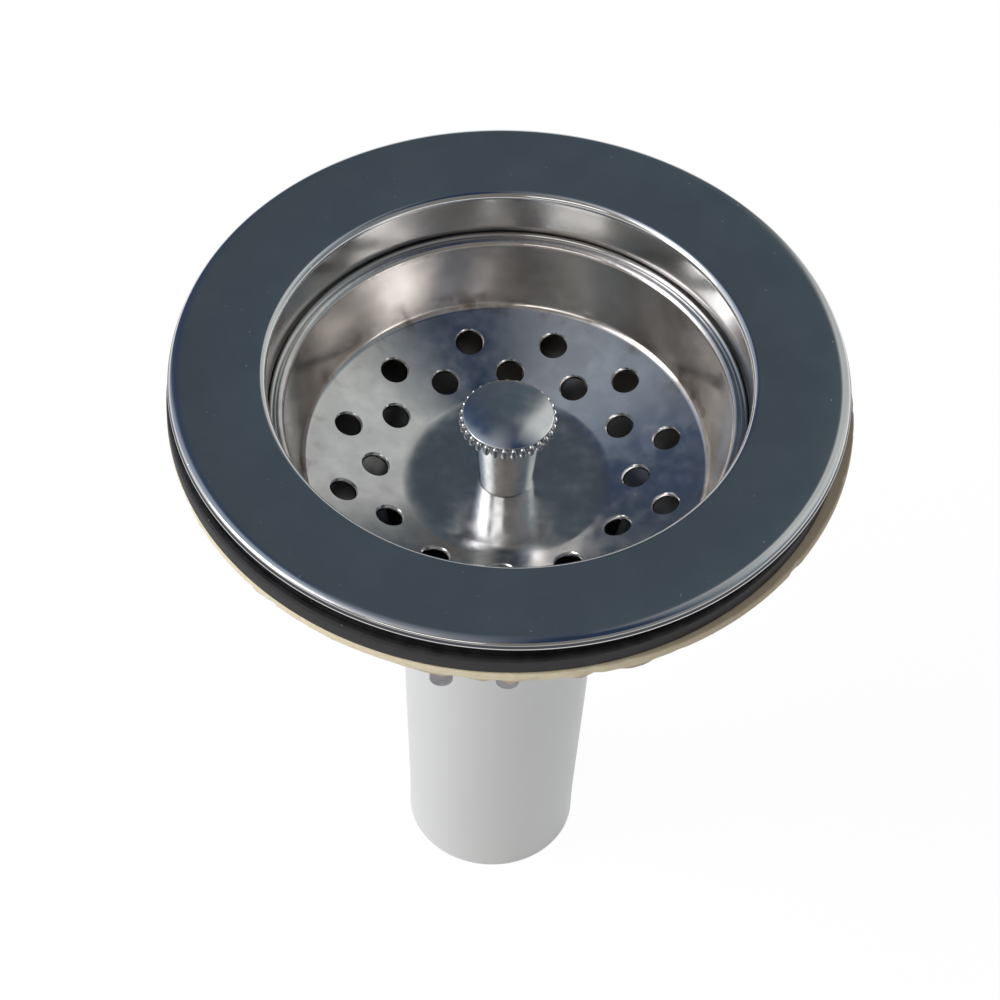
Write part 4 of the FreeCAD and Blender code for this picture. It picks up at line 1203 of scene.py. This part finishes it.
# %% Paint the floor
floor_paint = bpy.data.materials.new("white_floor")
floor_paint.use_nodes = True
tree = floor_paint.node_tree
tree.nodes.clear()
matt = tree.nodes.new("ShaderNodeBsdfDiffuse")
matt.inputs["Color"].default_value = (0.85, 0.85, 0.85, 1)
glow = tree.nodes.new("ShaderNodeEmission")
glow.inputs["Strength"].default_value = 1.06
rays = tree.nodes.new("ShaderNodeLightPath")
seen = rays.outputs["Is Camera Ray"]
for ray in ("Is Glossy Ray", "Is Transmission Ray"):
    seen = combine(tree, "MAXIMUM", seen, rays.outputs[ray])
glow_share = spread(tree, seen, 0, 1, 0, 0.9)
mixer = tree.nodes.new("ShaderNodeMixShader")
output = tree.nodes.new("ShaderNodeOutputMaterial")
tree.links.new(glow_share, mixer.inputs["Fac"])
tree.links.new(matt.outputs["BSDF"], mixer.inputs[1])
tree.links.new(glow.outputs["Emission"], mixer.inputs[2])
tree.links.new(mixer.outputs["Shader"], output.inputs["Surface"])
floor_mesh.materials.append(floor_paint)
print(floor_paint.name, "has", len(tree.nodes), "nodes")

# %% [markdown]
# ## Walls of the room
# Polished steel has hardly any colour of its own, so the room decides how it looks. The photograph's mirrors
# show a dark blue-grey wall behind the object, a bright window on the left and a pale wall on the right. A
# colour ramp round the horizon stands for those walls. Panels round the object would also work, but a ramp
# keeps all their colours in one list.

# %% Paint the walls
world = bpy.data.worlds.new("studio")
scene.world = world
world.use_nodes = True
tree = world.node_tree
direction = tree.nodes.new("ShaderNodeTexCoord")
axes = tree.nodes.new("ShaderNodeSeparateXYZ")
tree.links.new(direction.outputs["Generated"], axes.inputs["Vector"])
bearing = combine(tree, "ARCTAN2", axes.outputs["X"], axes.outputs["Y"])

# Bearings in degrees: 0 is behind the object, 90 is to its right.
walls = tree.nodes.new("ShaderNodeValToRGB")
wall_colors = (
    (-180, (0.23, 0.21, 0.19)),
    (-135, (0.30, 0.28, 0.26)),
    (-112, (0.95, 0.97, 1.00)),
    (-78, (0.95, 0.97, 1.00)),
    (-62, (0.36, 0.45, 0.58)),
    (-48, (0.37, 0.42, 0.49)),
    (-38, (0.06, 0.09, 0.15)),
    (-29, (0.047, 0.07, 0.125)),
    (-19, (0.062, 0.082, 0.112)),
    (-8, (0.072, 0.092, 0.112)),
    (7, (0.075, 0.1, 0.122)),
    (14, (0.10, 0.125, 0.145)),
    (19, (0.18, 0.195, 0.20)),
    (25, (0.62, 0.63, 0.62)),
    (37, (0.56, 0.59, 0.60)),
    (46, (0.72, 0.74, 0.69)),
    (60, (0.60, 0.65, 0.67)),
    (82, (0.22, 0.27, 0.30)),
    (120, (0.26, 0.26, 0.26)),
    (180, (0.23, 0.21, 0.19)),
)
stops = walls.color_ramp.elements
while len(stops) < len(wall_colors):
    stops.new(0.5)
for stop, (angle, color) in zip(stops, wall_colors):
    stop.position = (angle + 180) / 360
    stop.color = (*color, 1)
tree.links.new(spread(tree, bearing, -tau / 2, tau / 2), walls.inputs["Fac"])
print("room has", len(wall_colors), "wall colours")

# %% [markdown]
# ## Ceiling and horizon
# Faces that look up, such as the basket's floor, mirror what is overhead. The ceiling is a warm grey in
# front. Behind, it goes from light on the left to dark blue on the right, which makes the dark patch at the
# back of the basket's floor. The walls end a little lower on the right. Near the horizon the room fades to
# the floor's white.

# %% Paint the ceiling and the horizon
front_ceiling = (0.23, 0.21, 0.19)
left_ceiling = (0.33, 0.35, 0.385)
right_ceiling = (0.025, 0.045, 0.09)
horizon = (1.0, 1.0, 1.0)
horizon_start = radians(6)
horizon_end = radians(14)
back_ceiling = tint(tree, spread(tree, axes.outputs["X"], -0.14, 0.08), left_ceiling, right_ceiling)
ceiling = tint(tree, spread(tree, axes.outputs["Y"], -0.4, -0.2), front_ceiling, back_ceiling)
rightward = spread(tree, axes.outputs["X"], -1, 1, -0.1, 0.1)
over_walls = spread(tree, total(tree, axes.outputs["Z"], rightward), 0.875, 0.985)
room = tint(tree, over_walls, walls.outputs["Color"], ceiling)
near_horizon = spread(tree, axes.outputs["Z"], sin(horizon_start), sin(horizon_end), 1, 0)
room = tint(tree, near_horizon, room, horizon)
tree.links.new(room, tree.nodes["Background"].inputs["Color"])
print(world.name, "has", len(tree.nodes), "nodes")

# %% [markdown]
# ## Lamps
# One large soft lamp stands where the window is. It makes the bright strip along the left of the flange and
# the white streak on the knob's neck, and it lights the pipe from the left. A weaker one stands in front, to
# the left of the camera and lower, and round edges that face the front catch it as thin light lines. A sun
# lamp would light the same sides, but polished steel mirrors a lamp's shape, and a window's is a rectangle.

# %% Hang the lamps
lamp_distance = 1.2


def hang_lamp(name, bearing_angle, height_angle, size, energy):
    """A soft lamp that is turned towards the flange."""
    toward = Vector((
        cos(height_angle) * sin(bearing_angle),
        cos(height_angle) * cos(bearing_angle),
        sin(height_angle),
    ))
    lamp = bpy.data.objects.new(name, bpy.data.lights.new(name, "AREA"))
    lamp.data.shape = "RECTANGLE"
    lamp.data.size, lamp.data.size_y = size
    lamp.data.energy = energy
    lamp.location = flange_centre + lamp_distance * toward
    lamp.rotation_euler = toward.to_track_quat("Z", "Y").to_euler()
    scene.collection.objects.link(lamp)
    print(name, "at", [round(value, 2) for value in lamp.location])


hang_lamp("window_lamp", radians(-102), radians(35), size=(0.6, 0.9), energy=5)
hang_lamp("front_lamp", radians(-158), radians(38), size=(0.6, 0.25), energy=0.8)

# %% [markdown]
# ## Colour
# The Standard view shows a colour as it is written, where Blender's default view would soften bright ones.
# The finished pieces have to stay inside the solids' box.

# %% Finish
scene.view_settings.view_transform = "Standard"
